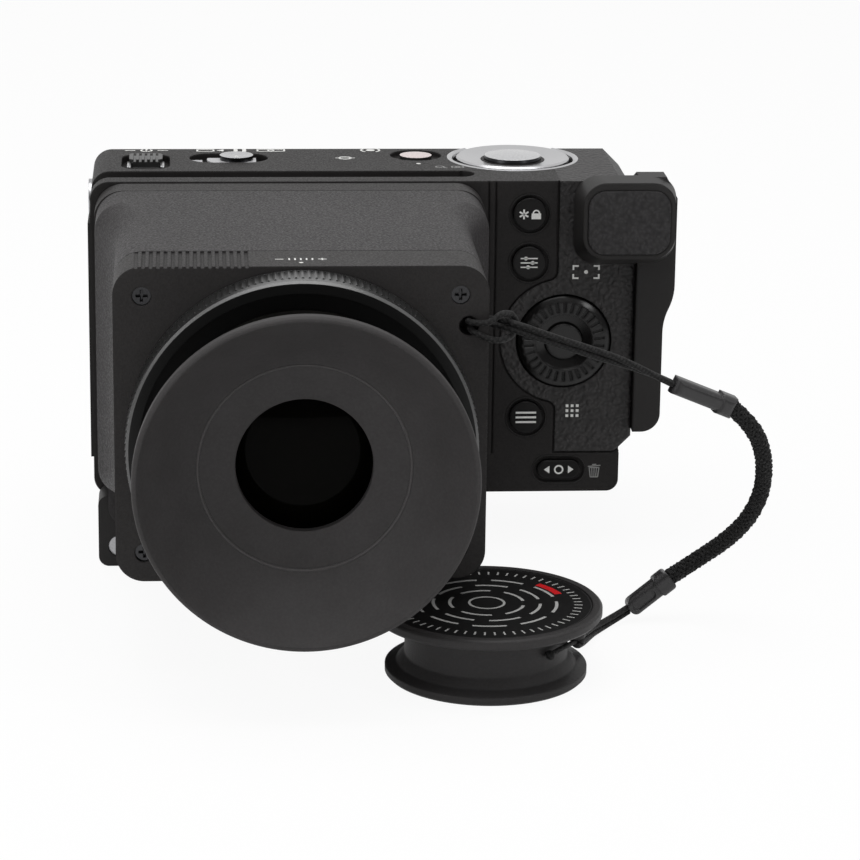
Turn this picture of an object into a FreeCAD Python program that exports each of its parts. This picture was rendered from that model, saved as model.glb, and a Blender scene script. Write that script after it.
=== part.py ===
import FreeCAD, Part
import math
import os

V = FreeCAD.Vector

# Compact mirrorless camera with a magnifying finder over its rear screen, a side grip
# and an eyepiece cap on a wrist lanyard.
# While the pieces are made, x runs to the right seen from behind, y runs forward from the
# rear control face and z runs up from the underside of the camera body.
# Each piece is moved at the end so that the origin is under the middle of the assembly,
# on the surface that it stands on.

# Camera body
body_w = 112.6
body_h = 68.3
body_d = 34.0
corner_r = 4.0
strip_h = 9.0
strip_corner_r = 2.6
screen_slab_t = 4.5
split_y = 10.6
top_t = 5.0
wall = 3.0
joint_gap = 0.3

# Optical axis that lens mount, sensor, screen and eyepiece share
axis_x = -14.6
axis_z = 34.2

# Heat sink in the slot between the screen slab and the body
slot_end_x = 24.8
sink_inset = 5.0
fin_pitch = 7.5
fin_w = 3.7
fin_inset = 1.4

# Screen
screen_w = 76.0
screen_tall = 55.0
screen_glass_t = 0.8
screen_panel_t = 1.8

# Leather-clad end cover
cover_x0 = 42.3
cover_t = 1.2
cover_side_t = 2.5
cover_top_r = 3.6
cover_cut = 3.2
cover_edge_r = 0.9
cover_fill_r = 2.2
seam_w = 0.45
seam_d = 0.4

# Rear buttons
button_r = 3.5
button_pocket_r = 4.3
button_pocket_d = 0.5
button_proud = 0.3
button_long = 2.6
button_travel = 0.5
slide_gap = 0.06
button_x = 36.0
lock_button_drop = 7.1
quick_button_drop = 17.6
menu_button_z = 16.7
button_column_x0 = 27.1
button_column_x1 = 28.6
column_groove_w = 0.35
column_groove_d = 0.3
mode_button_x = 43.35
mode_button_z = 4.95
mode_button_w = 9.3
mode_button_h = 4.1

# Control wheel
wheel_x = 43.75
wheel_z = 33.5
wheel_r = 9.85
wheel_recess_r = 10.25
wheel_lobe_r = 13.5
wheel_proud = 1.0
wheel_lip_t = 1.7
wheel_deep = 3.4
wheel_hub_r = 5.2
centre_button_r = 3.86
rib_count = 30
rib_out_r = 8.7
rib_in_r = 6.1
turn_gap = 0.05

# Lens mount
mount_face_y = 45.3
mount_ring_r = 30.4
mount_ring_t = 2.6
mount_boss_r = 32.0
throat_r = 25.8
throat_entry_r = 27.4
throat_entry_d = 1.3
bayonet_slots = 4
mount_screw_pcd_r = 28.9
mount_screw_r = 1.3
mount_screw_count = 4
mount_screw_start = 5.0
contact_w = 18.0
contact_t = 4.0
contact_tall = 5.5
contact_sunk = 0.5
flange_focal = 20.0

# Sensor
sensor_w = 42.0
sensor_tall = 30.0
sensor_t = 2.0
sensor_frame_w = 50.0
sensor_frame_tall = 38.0
sensor_back_t = 1.3
filter_t = 1.2
filter_gap = 0.6

# Battery, board and doors
battery_w = 35.0
battery_d = 15.5
battery_h = 50.0
battery_x0 = 19.0
battery_y0 = 13.2
board_t = 1.6
door_t = 2.0
door_hinge_x = 54.0
door_x0 = 17.0
latch_travel = 2.0
latch_long = 6.0
latch_w = 6.0
latch_t = 1.2
port_door_z0 = 4.4
port_door_z1 = 56.3
port_door_y0 = 14.0
port_hinge_y = 29.4
port_door_t = 1.9
port_proud = 1.0
port_bay_deep = 6.0
port_bay_inset = 2.0
jack_r = 1.75

# Quarter inch sockets
thread_r = 3.175
thread_long = 6.0
bush_r = 4.2
side_socket_drop = 7.4
side_socket_y = 18.0
socket_proud = 0.7

# Top controls
power_x = -44.85
control_y = 24.4
power_slot_w = 10.3
power_slot_d = 14.6
power_slot_y = 20.6
power_slot_r = 3.0
power_knob_w = 7.1
power_knob_d = 6.6
power_knob_y = 22.8
power_rail_w = 0.8
slot_depth = 1.6
knob_proud = 0.7
mode_slot_x0 = -35.6
mode_slot_x1 = -18.6
mode_slot_d = 9.6
mode_knob_r = 3.6
mode_knob_x = -25.4
rec_x = 13.5
rec_y = 26.8
rec_r = 3.45
rec_pocket_r = 5.6
rec_pocket_d = 1.0
rec_proud = 0.5
dial_x = 34.4
dial_y = 24.4
dial_r = 12.25
dial_gap = 0.85
dial_sunk = 2.6
dial_proud = 0.35
dial_notches = 48
trim_r = 14.24
trim_t = 0.8
collar_r = 6.95
shutter_r = 6.1
shutter_proud = 1.3

# Lens release
release_angle = -40.0
release_reach = 36.8
release_r = 4.2
release_proud = 2.4
release_travel = 1.6
lock_pin_r = 1.0
lock_pin_proud = 1.2

# Finder
frame_w = 81.4
hood_z = 37.0
hood_h = 62.2
frame_r = 6.0
frame_y0 = -7.9
hood_margin = 0.4
frame_wall = 3.6
gasket_t = 0.8
gasket_inset = 1.6
shell_t = 2.2
shoulder_y0 = -19.0
shoulder_y1 = -37.0
cover_w = 71.2
cover_corner_r = 5.5
cover_y0 = -62.0
cover_y1 = -74.8
barrel_rim = 1.9
barrel_wall = 3.6
barrel_neck_t = 2.0
barrel_rear_y = -90.3
ring_gap = 0.3
ring_r = 33.5
ring_long = 9.0
knurl_y0 = 0.8
knurl_long = 5.7
knurl_d = 0.4
knurl_count = 164
ring_lip_t = 2.6
ring_recess_d = 5.6
cell_rear_y = -88.2
cell_long = 18.6
cell_step_long = 7.2
rear_lens_inset = 7.2
front_lens_inset = 3.4
lens_seat = 1.5
rear_lens_t = 5.0
front_lens_t = 8.0
lens_bulge_r = 60.0
eyecup_y0 = -84.7
eyecup_sleeve = 5.3
eyecup_rim_y = -106.0
eyecup_rim_r = 32.0
eyecup_lip = 0.9
crease_y = -93.9
crease_r = 19.6
eye_hole_y = -92.15
eye_hole_r = 12.86
rubber_t = 1.3
screw_inset_x = 5.5
screw_inset_z = 5.75
cover_screw_r = 1.85
cover_screw_core_r = 1.1
screw_seat_d = 2.4
screw_head_t = 1.8
groove_start = 4.1
groove_pitch = 1.39
groove_count = 16
groove_d = 0.35
shell_seam = 0.25
eyelet_x = 17.15
eyelet_z = 56.35
eyelet_r = 1.9
eyelet_y = -70.6

# Base bracket
floor_z = -13.0
bracket_y0 = -9.0
bracket_rear_t = 8.2
bracket_drop = 3.3
bracket_r = 2.2
arm_w = 39.0
arm_r = 4.0
arm_y1 = 31.0
knob_r = 9.3
knob_t = 7.0
knob_sunk = 1.3
knob_rim = 0.8
knob_notches = 24
knob_notch_r = 0.7
thread_spare = 1.5
bush_floor = 0.8
knob_y = 19.0
pin_x = 36.3
pin_z = -8.6
pin_r = 2.3
pin_long = 4.0
pin_sunk = 0.4
tongue_t = 2.0
tongue_r = 4.0
tongue_z = -3.4
bracket_socket_y = 3.4

# Side grip
grip_t = 5.85
grip_step = 2.3
grip_rear_y = -2.0
grip_foot_z = 13.8
grip_top_rise = 1.2
grip_waist_z = 41.0
grip_rise = 5.0
grip_foot_r = 4.0
grip_crown_w = 2.4
grip_crown_h = 4.6
grip_front_y = 52.0
grip_front_x = 35.0
bow_root = 3.0
bow_shoulder = 5.2
bow_nose = 5.0
grip_front_top = 57.0
thumb_y = -8.0
thumb_x0 = 45.3
thumb_tall = 19.2
thumb_lean = 1.1
thumb_foot_lean = 2.9
thumb_r = 5.0
pad_edge = 1.1
pad_r = 3.6
pad_sunk = 0.8
pad_proud = 0.25
grip_knob_r = 4.4
grip_knob_t = 2.6

# Eyepiece cap
cap_x = 21.4
cap_y = -75.6
cap_flange_r = 19.7
cap_flange_t = 1.7
cap_neck_r = 15.9
cap_disc_r = 22.5
cap_disc_t = 2.2
cap_h = 14.2
label_r = 20.6
label_t = 0.4
cap_boss_r = 2.0

# Lanyard
thin_cord = 2.4
strand = 1.2
braid_d = 3.7
plug_w = 4.0
plug_t = 3.4
plug_collar_w = 4.7
plug_collar_t = 4.3
plug_collar_long = 3.4
plug_recess_w = 2.0
plug_recess_long = 5.4
plug_recess_d = 0.35

CORD_PARTS = ("cap_body", "cap_label", "hitch_loop", "upper_cord", "upper_connector", "wrist_strap",
              "lower_connector", "lower_cord")

# Values that follow from the sizes above
hood_wide_w = frame_w - 2 * hood_margin
half_w = body_w / 2.0
port_x0 = -half_w - port_proud
cover_x1 = half_w + cover_side_t
grip_x1 = cover_x1 + grip_t
thumb_x1 = grip_x1 + grip_step
frame_x0 = axis_x - frame_w / 2.0
frame_x1 = axis_x + frame_w / 2.0
hood_z0 = hood_z - hood_h / 2.0
hood_z1 = hood_z + hood_h / 2.0
bracket_top_z = hood_z0 - bracket_drop
lock_button_z = body_h - lock_button_drop
quick_button_z = body_h - quick_button_drop
side_socket_z = body_h - side_socket_drop
grip_top_z = body_h + grip_top_rise
thumb_z0 = grip_top_z - thumb_tall
barrel_r = axis_z - hood_z0 - barrel_rim
barrel_in_r = barrel_r - barrel_wall
barrel_neck_r = barrel_r - barrel_neck_t
ring_y0 = cover_y1 - ring_gap
ring_y1 = ring_y0 - ring_long
ring_floor_y = ring_y1 + ring_recess_d
barrel_neck_y = ring_floor_y - ring_gap
button_pocket_end = button_long + button_travel + slide_gap
sensor_y = mount_face_y - flange_focal
ring_back_y = mount_face_y - mount_ring_t


def outline(u0, u1, v0, v1, r, place):
    """Closed rounded rectangle in a plane that place(u, v) maps into space."""
    corners = ((u1 - r, v1 - r, 0), (u0 + r, v1 - r, 90), (u0 + r, v0 + r, 180), (u1 - r, v0 + r, 270))
    edges = []
    ends = []
    for cu, cv, start in corners:
        points = []
        for step in (0, 45, 90):
            a = math.radians(start + step)
            points.append(place(cu + r * math.cos(a), cv + r * math.sin(a)))
        edges.append(Part.Arc(*points).toShape())
        ends.append((points[0], points[2]))
    for i in range(4):
        a = ends[i][1]
        b = ends[(i + 1) % 4][0]
        if a.distanceToPoint(b) > 1e-6:
            edges.append(Part.makeLine(a, b))
    return Part.Wire(Part.__sortEdges__(edges))


def wire_y(x0, x1, z0, z1, r, y):
    return outline(x0, x1, z0, z1, r, lambda u, v: V(u, y, v))


def prism_y(x0, x1, z0, z1, r, y0, y1):
    return Part.Face(wire_y(x0, x1, z0, z1, r, y0)).extrude(V(0, y1 - y0, 0))


def prism_z(x0, x1, y0, y1, r, z0, z1):
    wire = outline(x0, x1, y0, y1, r, lambda u, v: V(u, v, z0))
    return Part.Face(wire).extrude(V(0, 0, z1 - z0))


def prism_x(y0, y1, z0, z1, r, x0, x1):
    wire = outline(y0, y1, z0, z1, r, lambda u, v: V(x0, u, v))
    return Part.Face(wire).extrude(V(x1 - x0, 0, 0))


def block(x0, x1, y0, y1, z0, z1):
    return Part.makeBox(x1 - x0, y1 - y0, z1 - z0, V(x0, y0, z0))


def disc_x(y, z, r, x0, x1):
    return Part.makeCylinder(r, x1 - x0, V(x0, y, z), V(1, 0, 0))


def disc_y(x, z, r, y0, y1):
    return Part.makeCylinder(r, y1 - y0, V(x, y0, z), V(0, 1, 0))


def disc_z(x, y, r, z0, z1):
    return Part.makeCylinder(r, z1 - z0, V(x, y, z0), V(0, 0, 1))


def ring_y(x, z, r_in, r_out, y0, y1):
    return disc_y(x, z, r_out, y0, y1).cut(disc_y(x, z, r_in, y0, y1))


def polygon(points, place):
    corners = [place(u, v) for u, v in points]
    return Part.Face(Part.makePolygon(corners + corners[:1]))


def spin_y(points, x, z):
    """Turn an (r, y) outline about the axis through (x, z) that runs along y."""
    face = polygon(points, lambda r, y: V(x + r, y, z))
    return face.revolve(V(x, 0, z), V(0, 1, 0), 360)


def spin_z(points, x, y):
    """Turn an (r, z) outline about the upright axis through (x, y)."""
    face = polygon(points, lambda r, z: V(x + r, y, z))
    return face.revolve(V(x, y, 0), V(0, 0, 1), 360)


def join(shapes):
    shapes = list(shapes)
    return shapes[0].multiFuse(shapes[1:]).removeSplitter()


def around_y(shape, x, z, degrees):
    turned = shape.copy()
    turned.rotate(V(x, 0, z), V(0, 1, 0), degrees)
    return turned


def around_z(shape, x, y, degrees):
    turned = shape.copy()
    turned.rotate(V(x, y, 0), V(0, 0, 1), degrees)
    return turned


# Camera body

def dial_room(r_in, r_out, low):
    """Well or seat round the top dial, open upward and through the front face."""
    room = disc_z(dial_x, dial_y, r_out, body_h - low, body_h + 1)
    if r_in > 0:
        room = room.cut(disc_z(dial_x, dial_y, r_in, body_h - low - 1, body_h + 2))
    return room


def cover_corners(grow, y0, y1):
    """Round fillings of the two inner corners between the cover's straight edge and its lobe."""
    r = cover_fill_r - grow
    x = cover_x0 - grow - r
    rise = math.sqrt((wheel_lobe_r + grow + r) ** 2 - (wheel_x - x) ** 2)
    fills = []
    for side in (-1, 1):
        z = wheel_z + side * rise
        wedge = polygon([(x, z), (wheel_x, z), (wheel_x, wheel_z)], lambda u, v: V(u, y0, v))
        wedge = wedge.extrude(V(0, y1 - y0, 0))
        fills.append(wedge.cut(disc_y(x, z, r, y0 - 1, y1 + 1)))
    return join(fills)


def end_cover():
    """Leather-clad cover round the right end: rear, top, side and front walls."""
    side = polygon([
        (cover_x0, strip_h),
        (cover_x1 - cover_cut, strip_h),
        (cover_x1, strip_h + cover_cut),
        (cover_x1, body_h - cover_top_r),
        (cover_x1 - cover_top_r, body_h),
        (cover_x0, body_h)], lambda x, z: V(x, 0, z))
    solid = side.extrude(V(0, body_d, 0))
    rear_edges = [e for e in solid.Edges if max(abs(v.Y) for v in e.Vertexes) < 1e-6
                  and min(v.X for v in e.Vertexes) > half_w - 1]
    solid = solid.makeFillet(cover_edge_r, rear_edges)
    inside = block(cover_x0 - 1, half_w, cover_t, body_d - cover_t, strip_h - 1, body_h - cover_t)
    lobe = disc_y(wheel_x, wheel_z, wheel_lobe_r, 0, cover_t)
    solid = solid.cut(inside).fuse([lobe, cover_corners(0, 0, cover_t)])
    solid = solid.cut(disc_y(wheel_x, wheel_z, wheel_recess_r, -1, cover_t + 1))
    solid = solid.cut(dial_room(0, dial_r + dial_gap, dial_sunk))
    solid = solid.cut(dial_room(dial_r, trim_r, trim_t))
    solid = solid.cut(disc_x(side_socket_y, side_socket_z, bush_r, half_w - 1, cover_x1 + 1))
    return solid.removeSplitter()


def end_room():
    """Space that the end cover and what lies outside it take from the body."""
    rear = block(cover_x0, cover_x1 + 1, -1, cover_t, strip_h, body_h + 1)
    lobe = disc_y(wheel_x, wheel_z, wheel_lobe_r, -1, cover_t)
    top = block(cover_x0, cover_x1 + 1, -1, body_d + 1, body_h - cover_t, body_h + 1)
    front = block(cover_x0, cover_x1 + 1, body_d - cover_t, body_d + 1, strip_h, body_h + 1)
    return join([rear, lobe, cover_corners(0, -1, cover_t), top, front])


def end_seam():
    """Groove in the rear plate along the edge of the leather."""
    edge = block(cover_x0 - seam_w, cover_x1, -1, seam_d, strip_h - seam_w, body_h + 1)
    lobe = disc_y(wheel_x, wheel_z, wheel_lobe_r + seam_w, -1, seam_d)
    return join([edge, lobe, cover_corners(seam_w, -1, seam_d)])


def body_slice(y0, y1):
    left = prism_y(-half_w, half_w, 0, body_h, corner_r, y0, y1)
    foot = prism_y(0, half_w, 0, body_h, strip_corner_r, y0, y1)
    return join([left, foot])


def slot_room():
    """Upright slot between the screen slab and the body, with a round end."""
    r = (split_y - screen_slab_t) / 2 - 0.01
    return prism_z(-half_w - 3 * r, slot_end_x, screen_slab_t, split_y, r, -1, body_h + 1)


def rear_housing():
    """Screen slab on the left and the control block on the right, joined at the slot's end."""
    solid = body_slice(0, split_y)
    solid = solid.cut(slot_room()).cut(end_room()).cut(end_seam()).cut(dial_room(dial_r, trim_r, trim_t))
    groove_z = strip_h - seam_w
    for x in (button_column_x0, button_column_x1):
        solid = solid.cut(block(x, x + column_groove_w, -1, column_groove_d, groove_z, body_h + 1))
    screen = prism_y(axis_x - screen_w / 2, axis_x + screen_w / 2, axis_z - screen_tall / 2,
                     axis_z + screen_tall / 2, 2.0, -1, screen_glass_t + screen_panel_t)
    solid = solid.cut(screen)
    for z in (lock_button_z, quick_button_z, menu_button_z):
        solid = solid.cut(disc_y(button_x, z, button_pocket_r, -1, button_pocket_d))
        solid = solid.cut(disc_y(button_x, z, button_r + slide_gap, -1, button_pocket_end))
    for grow, deep in ((0.8, button_pocket_d), (slide_gap, button_pocket_end)):
        solid = solid.cut(mode_outline(grow, -1, deep))
    solid = solid.cut(disc_y(wheel_x, wheel_z, wheel_recess_r, -1, wheel_deep + turn_gap))
    hub = ring_y(wheel_x, wheel_z, centre_button_r + slide_gap, wheel_hub_r - turn_gap,
                 wheel_lip_t - wheel_proud + joint_gap, wheel_deep + turn_gap)
    return solid.fuse(hub).removeSplitter()


def mode_outline(grow, y0, y1):
    x0 = mode_button_x - mode_button_w / 2 - grow
    z0 = mode_button_z - mode_button_h / 2 - grow
    x1 = mode_button_x + mode_button_w / 2 + grow
    z1 = mode_button_z + mode_button_h / 2 + grow
    return prism_y(x0, x1, z0, z1, (z1 - z0) / 2 - 0.01, y0, y1)


def throat(y0):
    return disc_y(axis_x, axis_z, throat_entry_r, y0, mount_face_y)


def cavity_x():
    return axis_x - sensor_frame_w / 2 - joint_gap, axis_x + sensor_frame_w / 2 + joint_gap


def sensor_stop_y():
    return sensor_y + filter_gap + filter_t + wall / 2


def release_place():
    a = math.radians(release_angle)
    return axis_x + release_reach * math.cos(a), axis_z + release_reach * math.sin(a)


def pin_place():
    a = math.radians(release_angle)
    return axis_x + mount_screw_pcd_r * math.cos(a), axis_z + mount_screw_pcd_r * math.sin(a)


def side_socket_room():
    """Seats of the threaded bushes in both ends of the body."""
    left = disc_x(side_socket_y, side_socket_z, bush_r, -half_w - 1, -half_w + thread_long)
    right = disc_x(side_socket_y, side_socket_z, bush_r, half_w - thread_long, half_w + 1)
    return Part.makeCompound([left, right])


def front_housing():
    """Main casting with the mount boss, the sensor and battery bays and both door recesses."""
    solid = body_slice(split_y, body_d)
    solid = solid.cut(block(-half_w - 1, half_w + 1, split_y, body_d + 1, body_h - top_t, body_h + 1))
    solid = solid.fuse(disc_y(axis_x, axis_z, mount_boss_r, body_d, ring_back_y))
    solid = solid.cut(end_room())
    x0, x1 = cavity_x()
    tall = sensor_frame_tall / 2 + joint_gap
    solid = solid.cut(prism_y(x0, x1, axis_z - tall, axis_z + tall, 2, split_y - 1, sensor_stop_y()))
    solid = solid.cut(throat(sensor_stop_y()))
    gap = joint_gap
    bay = block(battery_x0 - gap, battery_x0 + battery_w + gap, battery_y0 - gap,
                battery_y0 + battery_d + gap, -1, door_t + gap + battery_h + gap)
    solid = solid.cut(bay)
    door = block(door_x0 - gap, door_hinge_x, battery_y0 - 1.6 - gap, battery_y0 + battery_d + 1.6 + gap,
                 -1, door_t + gap)
    barrel = disc_y(door_hinge_x, door_t / 2, door_t / 2 + gap, battery_y0 - 1.6 - gap,
                    battery_y0 + battery_d + 1.6 + gap)
    under = block(door_hinge_x, door_hinge_x + door_t / 2 + gap, battery_y0 - 1.6 - gap,
                  battery_y0 + battery_d + 1.6 + gap, -1, door_t / 2)
    solid = solid.cut(door).cut(barrel).cut(under)
    z0 = port_door_z0 - gap
    z1 = port_door_z1 + gap
    bay_x = port_x0 + port_door_t
    hinge_x = port_x0 + port_door_t / 2
    ports = block(-half_w - 1, bay_x + gap, port_door_y0 - gap, port_hinge_y, z0, z1)
    post = disc_z(hinge_x, port_hinge_y, port_door_t / 2 + gap, z0, z1)
    plugs = block(bay_x - 1, bay_x + port_bay_deep, port_door_y0 + port_bay_inset,
                  port_hinge_y - port_bay_inset, port_door_z0 + port_bay_inset,
                  port_door_z1 - port_bay_inset)
    solid = solid.cut(ports).cut(post).cut(plugs)
    solid = solid.cut(side_socket_room())
    solid = solid.cut(disc_z(axis_x, knob_y, bush_r, 0, thread_long))
    rx, rz = release_place()
    solid = solid.cut(disc_y(rx, rz, release_r + slide_gap, body_d - 5.3 - release_travel, body_d + 1))
    px, pz = pin_place()
    solid = solid.cut(disc_y(px, pz, lock_pin_r + slide_gap, body_d - 1.3, mount_face_y))
    return solid.removeSplitter()


def top_cover():
    """Top plate with the recesses of the switches and the collar of the release."""
    solid = body_slice(split_y, body_d)
    solid = solid.cut(block(-half_w - 1, half_w + 1, -1, body_d + 1, -1, body_h - top_t))
    solid = solid.cut(end_room())
    deep = body_h - slot_depth
    power = prism_z(power_x - power_slot_w / 2, power_x + power_slot_w / 2,
                    power_slot_y - power_slot_d / 2, power_slot_y + power_slot_d / 2,
                    power_slot_r, deep, body_h + 1)
    mode = prism_z(mode_slot_x0, mode_slot_x1, control_y - mode_slot_d / 2, control_y + mode_slot_d / 2,
                   mode_slot_d / 2 - 0.01, deep, body_h + 1)
    solid = solid.cut(power).cut(mode)
    solid = solid.cut(disc_z(rec_x, rec_y, rec_pocket_r, body_h - rec_pocket_d, body_h + 1))
    solid = solid.cut(disc_z(rec_x, rec_y, rec_r + slide_gap, body_h - 3.4, body_h + 1))
    collar = disc_z(dial_x, dial_y, collar_r - turn_gap, body_h - dial_sunk, body_h - 0.3)
    core = disc_z(dial_x, dial_y, shutter_r + slide_gap, body_h - 3.8, body_h + 2)
    solid = solid.cut(dial_room(0, dial_r + dial_gap, dial_sunk)).cut(dial_room(dial_r, trim_r, trim_t))
    solid = solid.fuse(collar).cut(core).cut(side_socket_room())
    return solid.removeSplitter()


def heat_sink():
    """Finned plate between the screen slab and the body, seen in the slot round the slab."""
    x0 = -half_w + sink_inset
    plate = block(x0, slot_end_x, screen_slab_t, split_y, sink_inset, body_h - sink_inset)
    fins = [plate]
    count = int((slot_end_x - x0) / fin_pitch)
    for i in range(count):
        x = x0 + (i + 0.5) * fin_pitch - fin_w / 2
        for y0, y1 in ((screen_slab_t, screen_slab_t + 1.6), (split_y - 2.2, split_y)):
            fins.append(block(x, x + fin_w, y0, y1, fin_inset, body_h - fin_inset))
    return join(fins).common(slot_room())


def screen_parts():
    x0 = axis_x - screen_w / 2
    x1 = axis_x + screen_w / 2
    z0 = axis_z - screen_tall / 2
    z1 = axis_z + screen_tall / 2
    return {
        "screen_glass": prism_y(x0, x1, z0, z1, 2.0, 0, screen_glass_t),
        "screen_panel": prism_y(x0, x1, z0, z1, 2.0, screen_glass_t, screen_glass_t + screen_panel_t),
    }


def sensor_parts():
    stop = sensor_stop_y()
    back = sensor_y - sensor_t
    outer = prism_y(axis_x - sensor_frame_w / 2, axis_x + sensor_frame_w / 2,
                    axis_z - sensor_frame_tall / 2, axis_z + sensor_frame_tall / 2, 2,
                    back - sensor_back_t, stop)
    bay = prism_y(axis_x - sensor_w / 2, axis_x + sensor_w / 2, axis_z - sensor_tall / 2,
                  axis_z + sensor_tall / 2, 1, back, stop + 1)
    ledge = prism_y(axis_x - sensor_w / 2 - 1, axis_x + sensor_w / 2 + 1, axis_z - sensor_tall / 2 - 1,
                    axis_z + sensor_tall / 2 + 1, 1, sensor_y + filter_gap, stop + 1)
    frame = outer.cut(bay).cut(ledge)
    chip = prism_y(axis_x - sensor_w / 2, axis_x + sensor_w / 2, axis_z - sensor_tall / 2,
                   axis_z + sensor_tall / 2, 1, back, sensor_y)
    filter_y = sensor_y + filter_gap
    filter_glass = prism_y(axis_x - sensor_w / 2 - 1, axis_x + sensor_w / 2 + 1,
                           axis_z - sensor_tall / 2 - 1, axis_z + sensor_tall / 2 + 1, 1,
                           filter_y, filter_y + filter_t)
    x0, x1 = cavity_x()
    tall = sensor_frame_tall / 2
    board = prism_y(x0 + joint_gap, x1 - joint_gap, axis_z - tall, axis_z + tall, 2, split_y,
                    split_y + board_t)
    return {
        "sensor_frame": frame,
        "image_sensor": chip,
        "sensor_filter": filter_glass,
        "main_board": board,
    }


def mount_parts():
    ring = ring_y(axis_x, axis_z, throat_r, mount_ring_r, ring_back_y, mount_face_y)
    entry = disc_y(axis_x, axis_z, throat_entry_r, mount_face_y - throat_entry_d, mount_face_y + 1)
    tabs = []
    reach = throat_entry_r + 1
    for i in range(bayonet_slots):
        tab = block(axis_x - 9.0, axis_x + 9.0, mount_face_y - throat_entry_d, mount_face_y + 1,
                    axis_z + throat_r * 0.8, axis_z + reach)
        tabs.append(around_y(tab, axis_x, axis_z, 45 + i * 360.0 / bayonet_slots))
    ring = ring.cut(entry.common(join(tabs)))
    screws = []
    for i in range(mount_screw_count):
        a = math.radians(mount_screw_start + i * 360.0 / mount_screw_count)
        x = axis_x + mount_screw_pcd_r * math.cos(a)
        z = axis_z + mount_screw_pcd_r * math.sin(a)
        screws.append(disc_y(x, z, mount_screw_r, ring_back_y, mount_face_y - 0.2))
        ring = ring.cut(disc_y(x, z, mount_screw_r, ring_back_y - 1, mount_face_y + 1))
    px, pz = pin_place()
    ring = ring.cut(disc_y(px, pz, lock_pin_r + slide_gap, ring_back_y - 1, mount_face_y + 1))
    bar_y1 = ring_back_y - contact_sunk
    bar_z0 = axis_z - throat_entry_r
    bar = block(axis_x - contact_w / 2, axis_x + contact_w / 2, bar_y1 - contact_t, bar_y1,
                bar_z0, bar_z0 + contact_tall)
    bar = bar.common(throat(sensor_stop_y()))
    return {"lens_mount_ring": ring, "mount_screws": Part.makeCompound(screws), "contact_block": bar}


def release_parts():
    rx, rz = release_place()
    px, pz = pin_place()
    cap = disc_y(rx, rz, release_r, body_d - 5.0, body_d + release_proud)
    pin = disc_y(px, pz, lock_pin_r, body_d - 1.0 + release_travel, mount_face_y + lock_pin_proud)
    return {"lens_release_button": cap, "lens_lock_pin": pin}


def battery_parts():
    y0 = battery_y0 - 1.6
    y1 = battery_y0 + battery_d + 1.6
    pack = prism_z(battery_x0, battery_x0 + battery_w, battery_y0, battery_y0 + battery_d, 2.0,
                   door_t + joint_gap, door_t + joint_gap + battery_h)
    leaf = block(door_x0, door_hinge_x, y0, y1, 0, door_t)
    barrel = disc_y(door_hinge_x, door_t / 2, door_t / 2, y0, y1)
    mid_y = (y0 + y1) / 2
    half = latch_w / 2
    x0 = door_x0 + 2.0
    notch_x1 = x0 + latch_long + latch_travel + slide_gap
    notch = block(x0, notch_x1, mid_y - half, mid_y + half, -1, latch_t)
    half_in = half - slide_gap
    latch = block(x0 + slide_gap, x0 + latch_long, mid_y - half_in, mid_y + half_in, 0,
                  latch_t - slide_gap)
    ridges = []
    for i in range(5):
        x = x0 + 1.1 + i * 1.0
        ridges.append(block(x - 0.2, x + 0.2, mid_y - half, mid_y + half, -0.1, 0.25))
    latch = latch.cut(Part.makeCompound(ridges))
    door = leaf.fuse(barrel).removeSplitter().cut(notch)
    return {"battery": pack, "battery_door": door, "battery_latch": latch}


def port_parts():
    """Hinged door and, set back behind it, the block with three flat sockets and two round jacks."""
    bay_x = port_x0 + port_door_t
    leaf = block(port_x0, bay_x, port_door_y0, port_hinge_y, port_door_z0, port_door_z1)
    barrel = disc_z(port_x0 + port_door_t / 2, port_hinge_y, port_door_t / 2, port_door_z0, port_door_z1)
    x0 = bay_x + 1.5
    x1 = bay_x + port_bay_deep
    sockets = block(x0, x1, port_door_y0 + port_bay_inset, port_hinge_y - port_bay_inset,
                    port_door_z0 + port_bay_inset, port_door_z1 - port_bay_inset)
    mid_y = (port_door_y0 + port_hinge_y) / 2
    for z, tall, wide in ((14.6, 8.4, 2.6), (26.4, 12.0, 3.6), (37.6, 6.0, 2.4)):
        hole = prism_x(mid_y - wide / 2, mid_y + wide / 2, z - tall / 2, z + tall / 2, wide / 2 - 0.05,
                       x0 - 1, x1 - 0.8)
        tongue = prism_x(mid_y - 0.35, mid_y + 0.35, z - tall / 2 + 1, z + tall / 2 - 1, 0.3,
                         x0 + 0.5, x1 - 0.4)
        sockets = sockets.cut(hole).fuse(tongue)
    for z in (44.0, 50.0):
        sockets = sockets.cut(disc_x(mid_y, z, jack_r, x0 - 1, x1 - 0.8))
    return {"port_door": leaf.fuse(barrel).removeSplitter(), "port_sockets": sockets}


def socket_parts():
    left = disc_x(side_socket_y, side_socket_z, bush_r, -half_w - socket_proud, -half_w + thread_long)
    hole_long = thread_long - 1
    left = left.cut(disc_x(side_socket_y, side_socket_z, thread_r, -half_w - 2, -half_w + hole_long))
    right = disc_x(side_socket_y, side_socket_z, bush_r, half_w - thread_long, cover_x1)
    right = right.cut(disc_x(side_socket_y, side_socket_z, thread_r, half_w - hole_long, cover_x1 + 1))
    foot = disc_z(axis_x, knob_y, bush_r, 0, thread_long)
    foot = foot.cut(disc_z(axis_x, knob_y, thread_r, -1, hole_long))
    return {"screw_sockets": Part.makeCompound([left, right, foot])}


# Controls on the body

def rear_buttons():
    parts = {}
    for name, z in (("exposure_lock_button", lock_button_z), ("quick_set_button", quick_button_z),
                    ("menu_button", menu_button_z)):
        parts[name] = disc_y(button_x, z, button_r, -button_proud, button_long)
    parts["mode_button"] = mode_outline(0, -button_proud, button_long)
    parts["centre_button"] = disc_y(wheel_x, wheel_z, centre_button_r, -wheel_proud + 0.5, 2.2)
    return parts


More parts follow.
